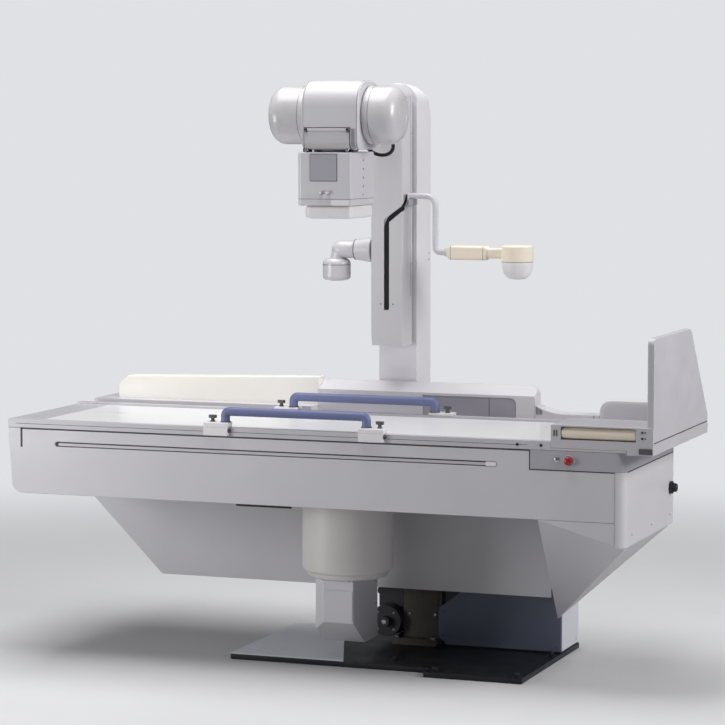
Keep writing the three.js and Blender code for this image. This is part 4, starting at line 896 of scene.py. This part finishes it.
def build_handgrips():
    for place, (left, right, outer, side, rail_top) in GRIPS.items():
        bar_y = outer - side * 16
        bar = Piece(f"{place}_bar", f"{place}_grip", BLUE)
        corners = [(left, bar_y, 893.4), (left, bar_y, 931), (right, bar_y, 931), (right, bar_y, 893.4)]
        bar.tube(fillet(corners, 27, 10), 16, 0, 28)
        bar.done(0, 1, [f"{place}_grip_bar"])
        for end, leg, out in (("left", left, -1), ("right", right, 1)):
            near = leg - out * 20
            x0, x1 = sorted((near, near + out * CLAMP_LENGTH))
            lip = outer + side * 16.3
            y0, y1 = sorted((lip, outer - side * 32))
            lip0, lip1 = sorted((outer + side * 0.3, lip))
            clamp = Piece(f"{place}_clamp_{end}_body", f"{place}_grip", PALE)
            clamp.box(x0, x1, y0, y1, rail_top + 0.4, 893)
            clamp.box(x0, x1, lip0, lip1, 846.3, rail_top + 1)
            clamp.done(2.5, 3, [f"{place}_clamp_{end}"])
            trim = Piece(f"{place}_clamp_{end}_trim", f"{place}_grip", KNOB, BLACK)
            collar = [(15, 893), (19, 893), (19, 895.5), (17.5, 897), (15, 897)]
            trim.lathe("Z", (leg, bar_y, 0), collar, 0, 32)
            stub = [(0, x1 - 1), (9, x1 - 1), (9, x1 + 3), (6, x1 + 4), (6, x1 + 6), (0, x1 + 6)]
            trim.lathe("X", (0, lip - side * 10, 866), stub, 0, 24)
            trim.screw("X", 1, (x1 + 6, lip - side * 10, 866), 4, 1, 0)
            trim.done(0.3, 2)
            knob_x = near + out * (CLAMP_LENGTH - 23)
            knob = Piece(f"{place}_lock_{end}", f"{place}_clamp_knob_{end}", KNOB)
            stem = [(0, 893.4), (9, 893.4), (9, 896), (6.5, 898), (6.5, 905), (9, 907)]
            knob.lathe("Z", (knob_x, bar_y, 0), [*stem, (0, 907)], 0, 28)
            wings = rounded(knob_x - 15, knob_x + 15, bar_y - 6.5, bar_y + 6.5, 6)
            knob.prism("Z", wings, 906, 917)
            knob.done(1.2, 2, [f"{place}_clamp_knob_{end}"])


# Floor base: anchor bolts, stand covers, motor fins
def build_base():
    fit = Piece("base_fittings", "base", PLATE, BLACK, NAVY)
    for bolt_x, bolt_y in ((380, -80), (680, -80), (680, 330), (180, 60), (20, 575)):
        fit.lathe("Z", (bolt_x, bolt_y, 0), ring(0, 22, 20, 23), 0, 32)
        fit.lathe("Z", (bolt_x, bolt_y, 0), [(0, 23), (13, 23), (13, 33), (11, 35), (0, 35)], 0, 6)
    for screw_x, height in ((258, 60), (258, 150), (352, 222), (690, 222), (690, 44), (470, 44)):
        fit.screw("Y", -1, (screw_x, 372.7, height), 4.5, 2, 1)
    fit.done(0.5, 2)

    side = Piece("stand_side_cover", "base", SIDE, CHROME, BLACK)
    side.prism("X", rounded(382, 593, 27, 234, 4), 706, 708)
    for screw_y, height in ((560, 45), (560, 215)):
        side.screw("X", 1, (708, screw_y, height), 4.2, 1, 2)
    side.done(0.6, 2)

    motor_x, motor_z = 39.5, 102.6
    motor = Piece("motor_fins", "base", MOTOR, CHROME, BLACK)
    for fin in range(6):
        along = 366 + fin * 20
        motor.lathe("Y", (motor_x, 0, motor_z), ring(56, 60.5, along, along + 8), 0, 56)
    motor.lathe("Y", (motor_x, 0, motor_z), [(0, 326.5), (9, 326.5), (11, 329), (0, 329)], 1, 6)
    for turn in range(4):
        angle = math.radians(45 + 90 * turn)
        motor.screw("Y", -1, (motor_x + 44 * math.cos(angle), 350, motor_z + 44 * math.sin(angle)), 5, 1, 2)
    motor.done(0.5, 2)
    terminals = Piece("motor_terminal_box", "base", MOTOR, CHROME, BLACK)
    terminals.box(motor_x - 44, motor_x + 50, 398, 480, 150, 246)
    terminals.box(motor_x - 48, motor_x + 54, 394, 484, 246, 254)
    gland = [(0, motor_x - 62), (11, motor_x - 62), (13, motor_x - 58), (13, motor_x - 43), (0, motor_x - 43)]
    terminals.lathe("X", (0, 440, 200), gland, 2, 24)
    for screw_x in (motor_x - 38, motor_x + 44):
        for screw_y in (404, 474):
            terminals.screw("Z", 1, (screw_x, screw_y, 254), 4, 1, 2)
    terminals.done(1.6, 2)

    gear = Piece("gearbox_fittings", "base", IRON, CHROME, BLACK)
    gear_x, gear_z = 172.8, 404.9
    gear.lathe("Y", (gear_x, 0, gear_z), [(18, 372), (34, 372), (38, 375), (38, 381), (18, 381)], 0, 40)
    for turn in range(6):
        angle = math.radians(60 * turn)
        gear.screw("Y", -1, (gear_x + 29 * math.cos(angle), 372, gear_z + 29 * math.sin(angle)), 4, 1, 2)
    for bolt_x in (gear_x - 92, gear_x + 46):
        for bolt_y in (354, 518):
            gear.lathe("Z", (bolt_x, bolt_y, 0), ring(0, 9, 44, 51), 1, 6)
    gear.box(gear_x - 60, gear_x + 60, 377, 381, 120, 300, 0)
    for screw_x in (gear_x - 50, gear_x + 50):
        for height in (132, 288):
            gear.screw("Y", -1, (screw_x, 377, height), 4.5, 1, 2)
    gear.done(0.8, 2)


# Image intensifier drum and television camera box
DRUM_X, CAMERA_RIGHT, CAMERA_FRONT = 22, 84, -110
VENT_X, VENT_HALF, VENT_LOW, VENT_STEP, VENT_GAP = 20, 40, 160, 12, 5


def build_image_carriage():
    drum = Piece("intensifier_shell", "image_carriage", INTENSIFIER)
    low = 326
    foot = [(0, low), (118, low), (134, low + 1), (142, low + 5), (146, low + 14), (148, low + 20)]
    wall = [(157, low + 24), (161, low + 29), (163, low + 36), (163, 700)]
    groove = [(160, 702), (160, 706), (163, 708), (163, 751.5), (0, 751.5)]
    drum.lathe("Z", (DRUM_X, 0, 0), [*foot, *wall, *groove], 0, 120)
    drum.done(0, 1, ["intensifier_drum"])

    fit = Piece("camera_fittings", "image_carriage", HEAD, CHROME, BLACK)
    fit.prism("Y", rounded(-28, 80, 180, 288, 5), CAMERA_FRONT - 2.6, CAMERA_FRONT + 1, 0)
    for height in (210, 290):
        fit.screw("X", 1, (CAMERA_RIGHT, 120, height), 4, 1, 2)
    for louvre in range(7):
        low_edge = VENT_LOW + louvre * VENT_STEP
        fit.box(VENT_X - VENT_HALF, VENT_X + VENT_HALF, 141.8, 142.6, low_edge, low_edge + VENT_GAP, 2)
    for turn in range(8):
        angle = math.radians(22.5 + 45 * turn)
        fit.screw("Z", -1, (DRUM_X + 128 * math.cos(angle), 128 * math.sin(angle), low), 5, 1, 2)
    fit.done(0.4, 2)


# Light: a broad overhead panel, a soft fill from the left front and a panel at the foot end
def add_light(name, place, aim, size, power):
    data = bpy.data.lights.new(name, "AREA")
    data.shape = "RECTANGLE"
    data.size, data.size_y = size
    data.energy = power
    lamp = bpy.data.objects.new(name, data)
    lamp.location = place
    lamp.rotation_euler = (Vector(aim) - Vector(place)).to_track_quat("-Z", "Y").to_euler()
    bpy.context.scene.collection.objects.link(lamp)


BACKDROP = colour(224, 225, 228)
FILL_STRENGTH = 0.17


def add_world():
    """Pale backdrop for the camera, dimmer light for all other rays."""
    world = bpy.data.worlds.new("studio")
    world.use_nodes = True
    tree = world.node_tree
    seen = tree.nodes["Background"]
    seen.inputs["Color"].default_value = BACKDROP
    seen.inputs["Strength"].default_value = 1.0
    fill = tree.nodes.new("ShaderNodeBackground")
    fill.inputs["Color"].default_value = colour(236, 238, 242)
    fill.inputs["Strength"].default_value = FILL_STRENGTH
    ray = tree.nodes.new("ShaderNodeLightPath")
    mix = tree.nodes.new("ShaderNodeMixShader")
    tree.links.new(ray.outputs["Is Camera Ray"], mix.inputs[0])
    tree.links.new(fill.outputs[0], mix.inputs[1])
    tree.links.new(seen.outputs[0], mix.inputs[2])
    tree.links.new(mix.outputs[0], tree.nodes["World Output"].inputs["Surface"])
    bpy.context.scene.world = world


def floor_material():
    """Pale floor that throws little light back and fades into the backdrop's colour."""
    material = coated("floor_pale", colour(214, 214, 216), 0.7, peel=0.02, tone=0.012)
    tree = material.node_tree
    shader = tree.nodes["Principled BSDF"]
    place = tree.nodes.new("ShaderNodeTexCoord")
    reach = tree.nodes.new("ShaderNodeVectorMath")
    reach.operation = "LENGTH"
    tree.links.new(place.outputs["Object"], reach.inputs[0])
    fade = tree.nodes.new("ShaderNodeMapRange")
    fade.interpolation_type = "SMOOTHSTEP"
    fade.inputs["From Min"].default_value = 2.2
    fade.inputs["From Max"].default_value = 5.5
    tree.links.new(reach.outputs["Value"], fade.inputs["Value"])
    ray = tree.nodes.new("ShaderNodeLightPath")
    both = tree.nodes.new("ShaderNodeMath")
    both.operation = "MULTIPLY"
    tree.links.new(ray.outputs["Is Camera Ray"], both.inputs[0])
    tree.links.new(fade.outputs["Result"], both.inputs[1])
    dim = tree.nodes.new("ShaderNodeBsdfDiffuse")
    dim.inputs["Color"].default_value = colour(182, 182, 184)
    seen = tree.nodes.new("ShaderNodeMixShader")
    tree.links.new(ray.outputs["Is Camera Ray"], seen.inputs[0])
    tree.links.new(dim.outputs[0], seen.inputs[1])
    tree.links.new(shader.outputs[0], seen.inputs[2])
    glow = tree.nodes.new("ShaderNodeEmission")
    glow.inputs["Color"].default_value = BACKDROP
    mix = tree.nodes.new("ShaderNodeMixShader")
    tree.links.new(both.outputs[0], mix.inputs[0])
    tree.links.new(seen.outputs[0], mix.inputs[1])
    tree.links.new(glow.outputs[0], mix.inputs[2])
    tree.links.new(mix.outputs[0], tree.nodes["Material Output"].inputs["Surface"])
    return material


def add_studio():
    scene = bpy.context.scene
    scene.view_settings.view_transform = "Standard"
    add_world()
    add_light("overhead", (-0.6, 0.1, 5.4), (0, 0.2, 0.9), (4.5, 3.0), 235)
    add_light("key", (-2.9, -2.7, 1.1), (-0.4, 0, 0.9), (1.6, 1.5), 60)
    add_light("foot_end", (5.0, -0.3, 3.1), (0.5, 0.2, 1.2), (2.2, 2.2), 180)

    mesh = bpy.data.meshes.new("floor")
    half = 14
    corners = [(-half, -half, 0), (half, -half, 0), (half, half, 0), (-half, half, 0)]
    mesh.from_pydata(corners, [], [(0, 1, 2, 3)])
    floor = bpy.data.objects.new("floor", mesh)
    scene.collection.objects.link(floor)
    mesh.materials.append(floor_material())


add_camera()
add_studio()
dress_frame()
build_tube_head()
add_cable()
build_collimator()
build_column()
build_carriage_arms()
build_body()
build_tabletop()
build_handgrips()
build_base()
build_image_carriage()
